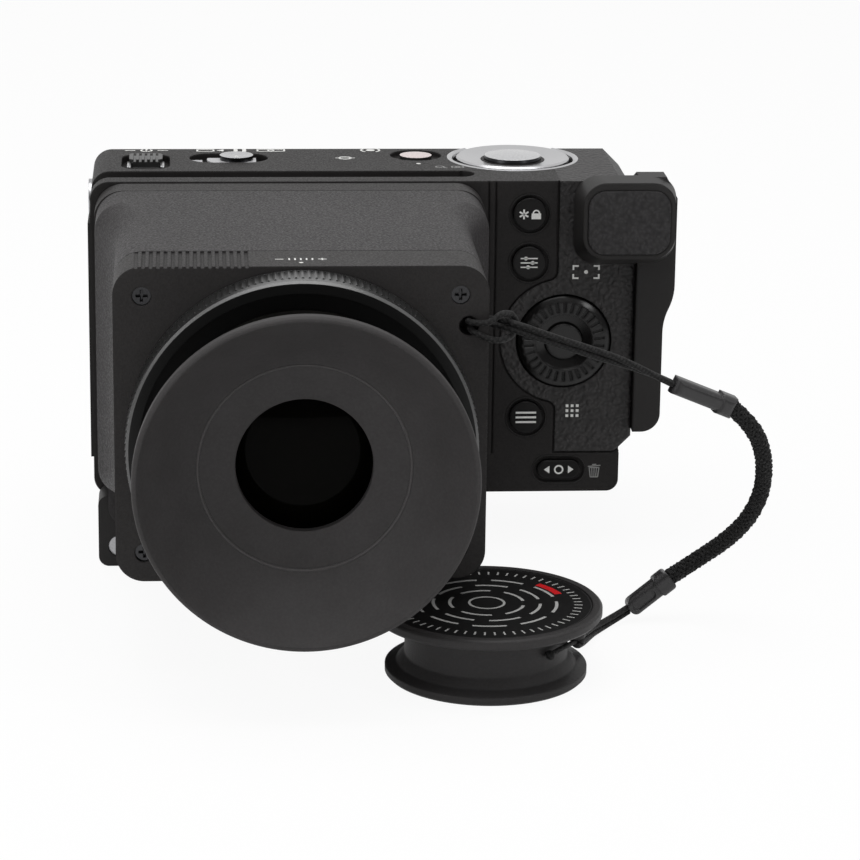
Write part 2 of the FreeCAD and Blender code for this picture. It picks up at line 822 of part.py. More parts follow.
def control_wheel():
    lip = spin_y([
        (centre_button_r + slide_gap, -wheel_proud + 1.0),
        (rib_in_r, -wheel_proud + 0.2),
        (rib_in_r, -wheel_proud),
        (rib_out_r, -wheel_proud),
        (wheel_r, -wheel_proud + 0.7),
        (wheel_r, wheel_deep),
        (wheel_hub_r, wheel_deep),
        (wheel_hub_r, -wheel_proud + wheel_lip_t),
        (centre_button_r + slide_gap, -wheel_proud + wheel_lip_t)], wheel_x, wheel_z)
    groove = block(wheel_x - 0.28, wheel_x + 0.28, -wheel_proud - 1, -wheel_proud + 0.35,
                   wheel_z + rib_in_r + 0.4, wheel_z + rib_out_r)
    cuts = [around_y(groove, wheel_x, wheel_z, i * 360.0 / rib_count) for i in range(rib_count)]
    return lip.cut(Part.makeCompound(cuts))


def power_switch():
    """Ribbed slider on a plate whose two raised rails lie beside the knob."""
    z0 = body_h - slot_depth
    top = body_h + knob_proud
    half_w_knob = power_knob_w / 2
    y0 = power_knob_y - power_knob_d / 2
    y1 = power_knob_y + power_knob_d / 2
    knob = prism_z(power_x - half_w_knob, power_x + half_w_knob, y0, y1, 1.2, z0, top)
    near_y = power_slot_y - power_slot_d / 2 + 2.4
    rail_x = half_w_knob + power_rail_w / 2
    plate = block(power_x - rail_x, power_x + rail_x, near_y, y1 - 1.5, z0, z0 + 0.5)
    parts = [knob, plate]
    for side in (-1, 1):
        x = power_x + side * half_w_knob
        parts.append(block(x - power_rail_w / 2, x + power_rail_w / 2, near_y, y0 + 1.5, z0,
                           body_h - 0.1))
    solid = join(parts)
    count = 6
    pitch = power_knob_w / count
    cuts = []
    for i in range(count - 1):
        x = power_x - half_w_knob + (i + 1) * pitch
        cuts.append(block(x - pitch * 0.25, x + pitch * 0.25, y0 - 1, y1 + 1, top - 0.5, top + 1))
    return solid.cut(Part.makeCompound(cuts))


def mode_switch():
    top = body_h + knob_proud
    knob = disc_z(mode_knob_x, control_y, mode_knob_r, body_h - slot_depth + slide_gap, top)
    dish_r = 14.0
    return knob.cut(Part.makeSphere(dish_r, V(mode_knob_x, control_y, top + dish_r - 0.35)))


def record_button():
    top = body_h + rec_proud
    body = disc_z(rec_x, rec_y, rec_r, body_h - 2.6, top)
    dome = Part.makeSphere(16.0, V(rec_x, rec_y, top - 16.0))
    return body.common(dome.fuse(disc_z(rec_x, rec_y, rec_r + 1, body_h - 3, body_h)))


def top_dial():
    """Knurled disc, slightly dished, that turns round the release and shows at the front edge."""
    z0 = body_h - dial_sunk + turn_gap
    top = body_h + dial_proud
    solid = spin_z([
        (collar_r, z0),
        (dial_r, z0),
        (dial_r, top - 0.35),
        (dial_r - 0.35, top),
        (collar_r, body_h - 0.35)], dial_x, dial_y)
    notch = disc_z(dial_x, dial_y + dial_r + 0.2, 0.42, z0 - 1, top - 0.5)
    cuts = [around_z(notch, dial_x, dial_y, i * 360.0 / dial_notches) for i in range(dial_notches)]
    return solid.cut(Part.makeCompound(cuts))


def dial_trim():
    """Bright ring let into the top round the dial and cut off flush with the front face."""
    solid = spin_z([
        (dial_r + dial_gap, body_h - trim_t),
        (trim_r, body_h - trim_t),
        (trim_r, body_h),
        (dial_r + dial_gap + 0.5, body_h + 0.15),
        (dial_r + dial_gap, body_h - 0.25)], dial_x, dial_y)
    return solid.cut(block(0, body_w, body_d, body_d + trim_r, 0, body_h + 2))


def shutter_button():
    top = body_h + shutter_proud
    stem = disc_z(dial_x, dial_y, shutter_r, body_h - 2.4, top)
    dome_r = 26.0
    dome = Part.makeSphere(dome_r, V(dial_x, dial_y, top - dome_r))
    return stem.common(dome.fuse(disc_z(dial_x, dial_y, shutter_r + 1, body_h - 3, body_h)))


# Finder

def shoulder_half(y):
    """Hood's half width where a concave arc leads from the wide part into the narrow part."""
    step = (hood_wide_w - cover_w) / 2
    run = shoulder_y0 - shoulder_y1
    arc_r = (run * run + step * step) / (2 * step)
    along = y - shoulder_y1
    return cover_w / 2 + arc_r - math.sqrt(arc_r * arc_r - along * along)


def hood_body(inset, y_in, y_out):
    """Wide part at the camera, concave shoulder and straight narrow part, as one solid."""
    z0 = hood_z0 + inset
    z1 = hood_z1 - inset
    wide = hood_wide_w / 2 - inset
    slim = cover_w / 2 - inset
    r0 = frame_r - inset
    r1 = cover_corner_r - inset
    wires = []
    count = 6
    for i in range(count + 1):
        share = i / count
        y = shoulder_y0 + (shoulder_y1 - shoulder_y0) * share
        half = shoulder_half(y) - inset
        wires.append(wire_y(axis_x - half, axis_x + half, z0, z1, r0 + (r1 - r0) * share, y))
    front = prism_y(axis_x - wide, axis_x + wide, z0, z1, r0, shoulder_y0, y_in)
    rear = prism_y(axis_x - slim, axis_x + slim, z0, z1, r1, y_out, shoulder_y1)
    return front.fuse([Part.makeLoft(wires, True, False), rear])


def frame_prism(inset, y0, y1):
    """Rounded block with the finder frame's outline, drawn in by an inset."""
    return prism_y(frame_x0 + inset, frame_x1 - inset, hood_z0 + inset, hood_z1 - inset,
                   frame_r - inset, y0, y1)


def finder_frame_parts():
    opening = frame_prism(frame_wall, frame_y0 - 1, 1)
    frame = frame_prism(0, frame_y0, -gasket_t).cut(opening)
    gasket = frame_prism(gasket_inset, -gasket_t, 0).cut(opening)
    return {"finder_frame": frame, "finder_gasket": gasket}


def finder_hood():
    outer = hood_body(0, frame_y0 - shell_seam, cover_y0)
    lip_w = hood_wide_w / 2 - shell_seam
    lip = prism_y(axis_x - lip_w, axis_x + lip_w, hood_z0 + shell_seam, hood_z1 - shell_seam,
                  frame_r - shell_seam, frame_y0 - shell_seam, frame_y0)
    inner = hood_body(shell_t, frame_y0 + 1, cover_y0 - 1)
    tongue = prism_y(frame_x0 + shell_t, frame_x1 - shell_t, tongue_z, hood_z0 + 2 * tongue_r,
                     tongue_r, bracket_y0 - tongue_t, bracket_y0)
    return outer.fuse([lip, tongue]).cut(inner).removeSplitter()


def finder_cover():
    """Rear cover with the barrel's hole, finger ribs on top, screw seats and the cord's eyelet."""
    x0 = axis_x - cover_w / 2
    x1 = axis_x + cover_w / 2
    seam_y = cover_y0 - shell_seam
    lip_r = cover_corner_r - shell_seam
    lip_z1 = hood_z1 - shell_seam
    lip = prism_y(x0 + shell_seam, x1 - shell_seam, hood_z0 + shell_seam, lip_z1, lip_r,
                  seam_y, cover_y0)
    solid = prism_y(x0, x1, hood_z0, hood_z1, cover_corner_r, cover_y1, seam_y).fuse(lip)
    solid = solid.cut(disc_y(axis_x, axis_z, barrel_r, cover_y1 - 1, cover_y0 + 1))
    grooves = []
    groove_z = hood_z1 - groove_d
    for i in range(groove_count):
        x = x0 + groove_start + i * groove_pitch
        grooves.append(block(x, x + groove_pitch / 2, cover_y1 - 1, cover_y0 + 1, groove_z, hood_z1 + 1))
    solid = solid.cut(Part.makeCompound(grooves))
    solid = solid.cut(disc_y(eyelet_x, eyelet_z, eyelet_r, cover_y1 - 1, eyelet_y))
    solid = solid.cut(Part.makeSphere(eyelet_r, V(eyelet_x, eyelet_y, eyelet_z)))
    solid = solid.cut(disc_x(eyelet_y, eyelet_z, eyelet_r, eyelet_x, x1 + 1))
    for x, z in screw_places():
        solid = solid.cut(disc_y(x, z, cover_screw_r, cover_y1 - 1, cover_y1 + screw_seat_d))
        solid = solid.cut(disc_y(x, z, cover_screw_core_r, cover_y1, cover_y0 - 2))
    return solid


def screw_places():
    x = cover_w / 2 - screw_inset_x
    z = hood_h / 2 - screw_inset_z
    return [(axis_x + i * x, hood_z + j * z) for i in (-1, 1) for j in (-1, 1)]


def cover_screws():
    screws = []
    seat_y = cover_y1 + screw_seat_d
    slot_w = 0.27 * cover_screw_r
    slot_long = 1.2 * cover_screw_r
    for x, z in screw_places():
        head = disc_y(x, z, cover_screw_r, seat_y - screw_head_t, seat_y)
        cross_y = seat_y - 0.45 * screw_head_t
        for w, h in ((slot_long, slot_w), (slot_w, slot_long)):
            head = head.cut(block(x - w / 2, x + w / 2, cover_y1, cross_y, z - h / 2, z + h / 2))
        screws.append(head.fuse(disc_y(x, z, cover_screw_core_r, seat_y, cover_y0 - 2)))
    return Part.makeCompound(screws)


def finder_barrel():
    """Fixed tube in the rear cover: the diopter ring turns on it and the eyecup grips its end."""
    outer = disc_y(axis_x, axis_z, barrel_r, barrel_neck_y, cover_y0)
    neck = disc_y(axis_x, axis_z, barrel_neck_r, barrel_rear_y, barrel_neck_y)
    bore = disc_y(axis_x, axis_z, barrel_in_r, barrel_rear_y - 1, cover_y0 + 1)
    return outer.fuse(neck).cut(bore).removeSplitter()


def diopter_ring():
    """Ring with fine teeth round its front part and a deep recess in its rear face."""
    bore_r = barrel_r + turn_gap
    band_r = ring_r - 0.2
    recess_r = ring_r - ring_lip_t
    chamfer = 0.5
    solid = spin_y([
        (bore_r, ring_y0),
        (band_r, ring_y0),
        (band_r, ring_y1 + chamfer),
        (band_r - chamfer, ring_y1),
        (recess_r, ring_y1),
        (recess_r, ring_floor_y),
        (bore_r, ring_floor_y)], axis_x, axis_z)
    y0 = ring_y0 - knurl_y0
    rim = []
    for i in range(2 * knurl_count):
        a = math.pi * i / knurl_count
        r = ring_r - knurl_d * (i % 2)
        rim.append(V(axis_x + r * math.cos(a), y0, axis_z + r * math.sin(a)))
    teeth = Part.Face(Part.makePolygon(rim + rim[:1])).extrude(V(0, -knurl_long, 0))
    teeth = teeth.cut(disc_y(axis_x, axis_z, bore_r + 1, y0 - knurl_long - 1, y0 + 1))
    groove = ring_y(axis_x, axis_z, ring_r - knurl_d, ring_r + 1, y0 - knurl_long, y0)
    recess = disc_y(axis_x, axis_z, recess_r, y0 - knurl_long - 1, ring_floor_y)
    return solid.cut(groove).fuse(teeth.cut(recess))


def lens_parts():
    """Cell that slides in the barrel, with the eye lens behind and the field lens in front."""
    outer_r = barrel_in_r - turn_gap
    rear_r = outer_r - rear_lens_inset
    front_r = outer_r - front_lens_inset
    front_y = cell_rear_y + cell_long
    step_y = cell_rear_y + cell_step_long
    rear_y = cell_rear_y + joint_gap
    cell = disc_y(axis_x, axis_z, outer_r, cell_rear_y, front_y)
    cell = cell.cut(disc_y(axis_x, axis_z, rear_r - lens_seat, cell_rear_y - 1, front_y + 1))
    cell = cell.cut(disc_y(axis_x, axis_z, rear_r, cell_rear_y - 1, rear_y + rear_lens_t))
    cell = cell.cut(disc_y(axis_x, axis_z, front_r, step_y, front_y + 1))
    rear = disc_y(axis_x, axis_z, rear_r, rear_y - 1, rear_y + rear_lens_t)
    rear = rear.common(Part.makeSphere(lens_bulge_r, V(axis_x, rear_y + lens_bulge_r, axis_z)))
    lens_top = step_y + front_lens_t
    front = disc_y(axis_x, axis_z, front_r, step_y, lens_top + 1)
    front = front.common(Part.makeSphere(lens_bulge_r, V(axis_x, lens_top - lens_bulge_r, axis_z)))
    return {"lens_cell": cell, "eye_lens": rear, "field_lens": front}


def eyecup():
    """Flared rubber cup: a sleeve on the barrel's neck, a wide bell and a dished inside."""
    sleeve_r = barrel_neck_r + rubber_t
    flare_y0 = eyecup_y0 - eyecup_sleeve
    flare_y1 = eyecup_rim_y + 3 * eyecup_lip
    run = flare_y0 - flare_y1
    step = eyecup_rim_r - sleeve_r
    flare_r = (run * run + step * step) / (2 * step)
    mid_r = sleeve_r + flare_r - math.sqrt(flare_r * flare_r - run * run / 4)
    lip = eyecup_lip

    def p(r, y):
        return V(axis_x + r, y, axis_z)

    bowl = Part.BezierCurve()
    bowl_mid = p((eyecup_rim_r + 2 * crease_r) / 2.87, crease_y + 0.26 * (eyecup_rim_y - crease_y))
    bowl.setPoles([p(eyecup_rim_r - lip, eyecup_rim_y), bowl_mid, p(crease_r, crease_y)])
    k = lip * (1 - math.sqrt(0.5))
    flare_mid = p(mid_r, (flare_y0 + flare_y1) / 2)
    edges = [
        Part.makeLine(p(barrel_neck_r, eyecup_y0), p(sleeve_r, eyecup_y0)),
        Part.makeLine(p(sleeve_r, eyecup_y0), p(sleeve_r, flare_y0)),
        Part.Arc(p(sleeve_r, flare_y0), flare_mid, p(eyecup_rim_r, flare_y1)).toShape(),
        Part.makeLine(p(eyecup_rim_r, flare_y1), p(eyecup_rim_r, eyecup_rim_y + lip)),
        Part.Arc(p(eyecup_rim_r, eyecup_rim_y + lip), p(eyecup_rim_r - k, eyecup_rim_y + k),
                 p(eyecup_rim_r - lip, eyecup_rim_y)).toShape(),
        bowl.toShape(),
        Part.makeLine(p(crease_r, crease_y), p(eye_hole_r, eye_hole_y)),
        Part.makeLine(p(eye_hole_r, eye_hole_y), p(eye_hole_r, barrel_rear_y)),
        Part.makeLine(p(eye_hole_r, barrel_rear_y), p(barrel_neck_r, barrel_rear_y)),
        Part.makeLine(p(barrel_neck_r, barrel_rear_y), p(barrel_neck_r, eyecup_y0)),
    ]
    return Part.Face(Part.Wire(edges)).revolve(p(0, 0), V(0, 1, 0), 360)


# Base bracket

def bracket_parts():
    x0 = frame_x0
    x1 = frame_x1
    rear = prism_y(x0, x1, floor_z, bracket_top_z, bracket_r, bracket_y0, bracket_y0 + bracket_rear_t)
    rear = rear.cut(block(x0 - 1, x1 + 1, -joint_gap, 1, 0, bracket_top_z + 1))
    arm_x0 = axis_x - arm_w / 2
    arm = prism_z(arm_x0, arm_x0 + arm_w, bracket_y0 + arm_r / 2, arm_y1, arm_r, floor_z, 0)
    arm = arm.cut(block(x0, x1, bracket_y0, bracket_y0 + arm_r / 2 + 0.5, floor_z - 1, 1))
    head_z0 = floor_z + knob_sunk
    head_z1 = head_z0 + knob_t
    solid = rear.fuse(arm)
    solid = solid.cut(disc_z(axis_x, knob_y, knob_r + joint_gap, floor_z - 1, head_z1))
    solid = solid.cut(disc_z(axis_x, knob_y, thread_r, floor_z, 1))
    solid = solid.cut(disc_z(axis_x, bracket_socket_y, bush_r, floor_z - 1, floor_z + thread_long))
    pins = []
    for side in (-1, 1):
        x = axis_x + side * pin_x
        pin_y1 = bracket_y0 + pin_long
        solid = solid.cut(disc_y(x, pin_z, pin_r, bracket_y0 - 1, pin_y1))
        pins.append(disc_y(x, pin_z, pin_r, bracket_y0 + pin_sunk, pin_y1))
    head = disc_z(axis_x, knob_y, knob_r, head_z0, head_z1)
    notch = disc_z(axis_x, knob_y + knob_r + knob_notch_r / 2, knob_notch_r, floor_z, head_z1 - knob_rim)
    cuts = [around_z(notch, axis_x, knob_y, i * 360.0 / knob_notches) for i in range(knob_notches)]
    head = head.cut(Part.makeCompound(cuts))
    shaft = disc_z(axis_x, knob_y, thread_r - turn_gap, head_z1, thread_long - thread_spare)
    bush = disc_z(axis_x, bracket_socket_y, bush_r, floor_z, floor_z + thread_long)
    hole_z1 = floor_z + thread_long - bush_floor
    bush = bush.cut(disc_z(axis_x, bracket_socket_y, thread_r, floor_z - 1, hole_z1))
    return {"base_bracket": solid.removeSplitter(), "bracket_pins": Part.makeCompound(pins),
            "bracket_screw": head.fuse(shaft), "bracket_socket": bush}


# Side grip

def grip_outline(place):
    """Side plate seen from behind: straight foot, waist, and a wider head under the thumb rest."""
    r = grip_foot_r
    k = r * (1 - math.sqrt(0.5))
    bend = grip_step * 0.13
    mid_x = (grip_x1 + thumb_x1) / 2
    start_z = grip_waist_z - grip_rise
    end_z = grip_waist_z + grip_rise
    crown_x = thumb_x1 - grip_crown_w
    crown_z = grip_top_z - grip_crown_h
    foot = Part.Arc(place(grip_x1 - r, grip_foot_z), place(grip_x1 - k, grip_foot_z + k),
                    place(grip_x1, grip_foot_z + r))
    out = Part.Arc(place(grip_x1, start_z), place(grip_x1 + bend, start_z + grip_rise / 2),
                   place(mid_x, grip_waist_z))
    back = Part.Arc(place(mid_x, grip_waist_z), place(thumb_x1 - bend, end_z - grip_rise / 2),
                    place(thumb_x1, end_z))
    return Part.Wire([
        Part.makeLine(place(cover_x1, grip_foot_z), place(grip_x1 - r, grip_foot_z)),
        foot.toShape(),
        Part.makeLine(place(grip_x1, grip_foot_z + r), place(grip_x1, start_z)),
        out.toShape(),
        back.toShape(),
        Part.makeLine(place(thumb_x1, end_z), place(thumb_x1, crown_z)),
        Part.makeLine(place(thumb_x1, crown_z), place(crown_x, grip_top_z)),
        Part.makeLine(place(crown_x, grip_top_z), place(cover_x1, grip_top_z)),
        Part.makeLine(place(cover_x1, grip_top_z), place(cover_x1, grip_foot_z))])


def grip_plate():
    face = Part.Face(grip_outline(lambda x, z: V(x, grip_rear_y, z)))
    plate = face.extrude(V(0, body_d - grip_rear_y, 0))
    x0 = cover_x1 - 1
    side = [
        Part.makeLine(V(x0, grip_rear_y, grip_foot_z - 1), V(x0, body_d, grip_foot_z - 1)),
        Part.makeLine(V(x0, body_d, grip_foot_z - 1), V(x0, body_d, grip_front_top)),
        Part.Arc(V(x0, body_d, grip_front_top), V(x0, body_d * 0.45, grip_front_top + 8.0),
                 V(x0, 3.5, grip_top_z)).toShape(),
        Part.makeLine(V(x0, 3.5, grip_top_z), V(x0, grip_rear_y, grip_top_z)),
        Part.makeLine(V(x0, grip_rear_y, grip_top_z), V(x0, grip_rear_y, grip_foot_z - 1)),
    ]
    profile = Part.Face(Part.Wire(side)).extrude(V(grip_t + grip_step + 2, 0, 0))
    return plate.common(profile)


def grip_bow():
    """Finger bow in front of the camera, drawn in plan and stood up between foot and top."""
    x0 = grip_front_x
    x1 = grip_x1
    y0 = body_d
    y1 = grip_front_y
    root = bow_root
    shoulder_y = y1 - bow_shoulder
    tip_x = (x0 + x1) / 2 + root

    def p(x, y):
        return V(x, y, grip_foot_z)

    edges = [
        Part.makeLine(p(x1, y0 - root), p(x1, y0 + root)),
        Part.Arc(p(x1, y0 + root), p(x1 - root * 1.2, shoulder_y), p(tip_x, y1)).toShape(),
        Part.Arc(p(tip_x, y1), p(x0 + root * 1.4, shoulder_y), p(x0, y0 + bow_nose)).toShape(),
        Part.Arc(p(x0, y0 + bow_nose), p(x0 + bow_nose * 0.18, y0 + bow_nose * 0.26),
                 p(x0 + bow_nose * 0.8, y0)).toShape(),
        Part.makeLine(p(x0 + bow_nose * 0.8, y0), p(cover_x1, y0)),
        Part.makeLine(p(cover_x1, y0), p(cover_x1, y0 - root)),
        Part.makeLine(p(cover_x1, y0 - root), p(x1, y0 - root)),
    ]
    return Part.Face(Part.Wire(edges)).extrude(V(0, 0, grip_front_top - grip_foot_z))


def thumb_block():
    base = wire_y(thumb_x0, thumb_x1, thumb_z0, grip_top_z, thumb_r, 0)
    face = wire_y(thumb_x0 + thumb_lean, thumb_x1 - thumb_lean, thumb_z0 + thumb_foot_lean, grip_top_z,
                  thumb_r, thumb_y)
    return Part.makeLoft([base, face], True, True)


def pad_shape(y0, y1):
    return prism_y(thumb_x0 + thumb_lean + pad_edge, thumb_x1 - thumb_lean - pad_edge,
                   thumb_z0 + thumb_foot_lean + pad_edge, grip_top_z - pad_edge - 0.6,
                   pad_r, y0, y1)


def grip_parts():
    body = join([grip_plate(), grip_bow(), thumb_block()])
    body = body.cut(block(0, cover_x1, 0, body_d, 0, body_h + 5))
    body = body.cut(pad_shape(thumb_y - 1, thumb_y + pad_sunk))
    body = body.cut(disc_x(side_socket_y, side_socket_z, grip_knob_r + joint_gap, thumb_x1 - grip_knob_t,
                           thumb_x1 + 5))
    body = body.cut(disc_x(side_socket_y, side_socket_z, thread_r, cover_x1 - 1, thumb_x1))
    pad = pad_shape(thumb_y - pad_proud, thumb_y + pad_sunk)
    head = disc_x(side_socket_y, side_socket_z, grip_knob_r, thumb_x1 - grip_knob_t, thumb_x1 - 0.3)
    coin_slot = block(thumb_x1 - 1.4, thumb_x1 + 1, side_socket_y - grip_knob_r,
                      side_socket_y + grip_knob_r, side_socket_z - 0.7, side_socket_z + 0.7)
    head = head.cut(coin_slot)
    shaft = disc_x(side_socket_y, side_socket_z, thread_r - turn_gap, half_w - thread_long + 2,
                   thumb_x1 - grip_knob_t)
    return {"grip_frame": body, "thumb_pad": pad, "grip_screw": head.fuse(shaft)}


# Eyepiece cap and lanyard

def cap_parts():
    z0 = floor_z
    top = z0 + cap_h
    body = spin_z([
        (0, z0),
        (cap_flange_r - 0.5, z0),
        (cap_flange_r, z0 + 0.5),
        (cap_flange_r, z0 + cap_flange_t),
        (cap_neck_r + 1.6, z0 + cap_flange_t + 0.8),
        (cap_neck_r, z0 + cap_flange_t + 2.6),
        (cap_neck_r, top - cap_disc_t),
        (cap_disc_r - 0.6, top - cap_disc_t),
        (cap_disc_r, top - cap_disc_t + 0.6),
        (cap_disc_r, top - 0.4),
        (cap_disc_r - 0.4, top),
        (label_r, top),
        (label_r, top - label_t),
        (0, top - label_t)], cap_x, cap_y)
    last = lower_route()[-1]
    eyelet = disc_z(last.x, last.y, cap_boss_r, last.z + thin_cord / 2, top - cap_disc_t + 0.2)
    label = disc_z(cap_x, cap_y, label_r, top - label_t, top - label_t + 0.25)
    return {"cap_body": body.fuse(eyelet).removeSplitter(), "cap_label": label}


def upper_route():
    """Thin double cord from the eyelet's side hole to the upper connector."""
    return [V(19.0, -70.6, 56.35), V(22.4, -71.4, 56.4), V(26.9, -75.6, 56.0), V(30.9, -75.0, 54.4),
            V(34.8, -73.9, 52.8), V(38.8, -72.6, 51.2), V(42.8, -71.0, 49.5), V(46.9, -69.6, 47.8),
            V(50.95, -68.2, 45.85), V(54.65, -67.2, 44.0), V(57.54, -66.5, 42.46)]


def strap_route():
    """Braided strap from the upper connector round to the lower one."""
    return [V(69.83, -64.0, 36.92), V(72.9, -63.4, 34.08), V(75.65, -62.0, 30.17),
            V(77.22, -60.2, 25.72), V(77.81, -58.2, 20.97), V(77.65, -56.2, 16.49),
            V(76.35, -53.6, 11.59), V(74.19, -51.0, 7.4), V(71.21, -48.8, 3.74),
            V(67.47, -47.2, 0.47), V(63.56, -46.6, -2.48), V(61.37, -46.5, -3.99)]


def lower_route():
    """Thin double cord from the lower connector to the cap, under its disc."""
    return [V(52.97, -47.6, -10.4), V(51.05, -49.2, -11.0), V(48.76, -51.35, -11.5),
            V(46.34, -54.61, -11.6), V(44.26, -58.47, -11.2), V(42.06, -65.16, -10.0),
            V(40.2, -72.42, -8.2), V(38.76, -77.95, -6.6), V(38.3, -79.8, -5.8)]


def rounded_path(points, name):
    """Straight runs joined by tangent arcs, each arc as large as its two runs allow."""
    edges = []
    radii = []
    start = points[0]
    for i in range(1, len(points) - 1):
        before = points[i] - points[i - 1]
        after = points[i + 1] - points[i]
        turn = before.getAngle(after)
        back = 0.45 * min(before.Length, after.Length)
        radius = back / math.tan(turn / 2)
        before.normalize()
        after.normalize()
        first = points[i] - before * back
        last = points[i] + after * back
        inward = after - before
        inward.normalize()
        middle = points[i] + inward * (radius / math.cos(turn / 2) - radius)
        edges.append(Part.makeLine(start, first))
        edges.append(Part.Arc(first, middle, last).toShape())
        radii.append(round(radius, 1))
        start = last
    edges.append(Part.makeLine(start, points[-1]))
    print(name, "radii", radii)
    return Part.Wire(edges)


def tube(points, diameter, name):
    path = rounded_path(points, name)
    heading = points[1] - points[0]
    circle = Part.Wire(Part.makeCircle(diameter / 2, points[0], heading))
    solid = Part.Solid(path.makePipeShell([circle], True, False))
    expected = math.pi * diameter * diameter / 4 * path.Length
    print(name, "length", round(path.Length, 2), "volume share", round(solid.Volume / expected, 4))
    return solid


def plug_between(a, b, collar_at_end, edge_on):
    """Moulded connector between two cord ends: a flat rounded barrel with a collar at the strap
    and an oval recess in its face."""
    along = b - a
    length = along.Length
    tip_r = plug_w / 2 - 0.05
    recess_r = plug_recess_w / 2 - 0.05

    def oval(wide, thick, z0, z1, r):
        return prism_z(-wide / 2, wide / 2, -thick / 2, thick / 2, r, z0, z1)

    def slab(wide, thick, z0, z1, r):
        wire = outline(-wide / 2, wide / 2, z0, z1, r, lambda u, v: V(u, -thick / 2, v))
        return Part.Face(wire).extrude(V(0, thick, 0))

    barrel = oval(plug_w, plug_t, 0, length, 1.2).common(slab(plug_w, plug_t, 0, length, tip_r))
    collar = oval(plug_collar_w, plug_collar_t, length - plug_collar_long, length, 1.5)
    collar = collar.common(slab(plug_collar_w, plug_collar_t, length - plug_collar_long, length, 1.2))
    start = (length - plug_collar_long - plug_recess_long) / 2
    recess = slab(plug_recess_w, plug_t, start, start + plug_recess_long, recess_r)
    recess.translate(V(0, plug_recess_d - plug_t, 0))
    solid = barrel.fuse(collar).cut(recess)
    if not collar_at_end:
        solid.rotate(V(0, 0, length / 2), V(0, 1, 0), 180)
    axis = V(along).normalize()
    flat = V(0, 1, 0) - axis * axis.y
    flat.normalize()
    side = flat.cross(axis)
    if edge_on:
        side, flat = flat, side * -1
    turn = FreeCAD.Matrix(side.x, flat.x, axis.x, a.x, side.y, flat.y, axis.y, a.y,
                          side.z, flat.z, axis.z, a.z, 0, 0, 0, 1)
    solid.transformShape(turn)
    return solid


def hitch_route():
    """Bight of the hitch: out of the eyelet, round the double cord and back into the eyelet."""
    return [V(16.9, -72.2, 57.3), V(17.0, -76.0, 57.3), V(20.9, -76.2, 57.2), V(23.3, -75.0, 58.9),
            V(25.4, -72.6, 58.2), V(26.6, -72.0, 56.4), V(25.9, -72.6, 54.2), V(24.0, -75.0, 53.6),
            V(21.2, -76.2, 53.9), V(17.6, -76.0, 55.6), V(17.2, -72.2, 55.7)]


def lanyard_parts():
    upper = upper_route()
    strap = strap_route()
    lower = lower_route()
    return {
        "hitch_loop": tube(hitch_route(), strand, "hitch"),
        "upper_cord": tube(upper, thin_cord, "upper cord"),
        "upper_connector": plug_between(upper[-1], strap[0], True, True),
        "wrist_strap": tube(strap, braid_d, "wrist strap"),
        "lower_connector": plug_between(strap[-1], lower[0], False, False),
        "lower_cord": tube(lower, thin_cord, "lower cord"),
    }


def all_parts():
    parts = {
        "end_cover": end_cover(),
        "rear_housing": rear_housing(),
        "front_housing": front_housing(),
        "top_cover": top_cover(),
        "heat_sink": heat_sink(),
        "control_wheel": control_wheel(),
        "power_switch": power_switch(),
        "record_button": record_button(),
        "top_dial": top_dial(),
        "dial_trim": dial_trim(),
        "shutter_button": shutter_button(),
        "mode_switch": mode_switch(),
        "finder_hood": finder_hood(),
        "finder_cover": finder_cover(),
        "cover_screws": cover_screws(),
        "finder_barrel": finder_barrel(),
        "diopter_ring": diopter_ring(),
        "eyecup": eyecup(),
    }
    for group in (screen_parts(), sensor_parts(), mount_parts(), release_parts(), battery_parts(),
                  port_parts(), socket_parts(), rear_buttons(), finder_frame_parts(), lens_parts(),
                  bracket_parts(), grip_parts(), cap_parts(), lanyard_parts()):
        parts.update(group)
    return parts


def place_in_frame(parts):
    """Move everything so that the origin is under the middle of all but the lanyard and its cap."""
    carried = [shape for name, shape in parts.items() if name not in CORD_PARTS]
    boxes = [shape.optimalBoundingBox(False, False) for shape in carried]
    middle_x = (min(b.XMin for b in boxes) + max(b.XMax for b in boxes)) / 2
    middle_y = (min(b.YMin for b in boxes) + max(b.YMax for b in boxes)) / 2
    print("origin", round(middle_x, 4), round(middle_y, 4), floor_z)
    for shape in parts.values():
        shape.translate(V(-middle_x, -middle_y, -floor_z))


def write_parts():
    os.makedirs("parts", exist_ok=True)
    parts = all_parts()
    place_in_frame(parts)
    for name, shape in parts.items():
        box = shape.optimalBoundingBox(False, False)
        print(name, len(shape.Solids), shape.isValid(), round(shape.Volume, 1),
              [round(v, 2) for v in (box.XMin, box.XMax, box.YMin, box.YMax, box.ZMin, box.ZMax)])
        shape.exportStep("parts/" + name + ".step")


write_parts()
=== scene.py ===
"""Looks of the camera with its eyepiece finder, side grip, lanyard and eyepiece cap.

Sizes are in millimetres and places in the camera body's own axes: x to the right seen from
behind, y forward from the rear face and z up from the underside. at() turns such a place
into the frame that the part is stored in.
"""

import math

import bmesh
import bpy
from mathutils import Matrix, Vector


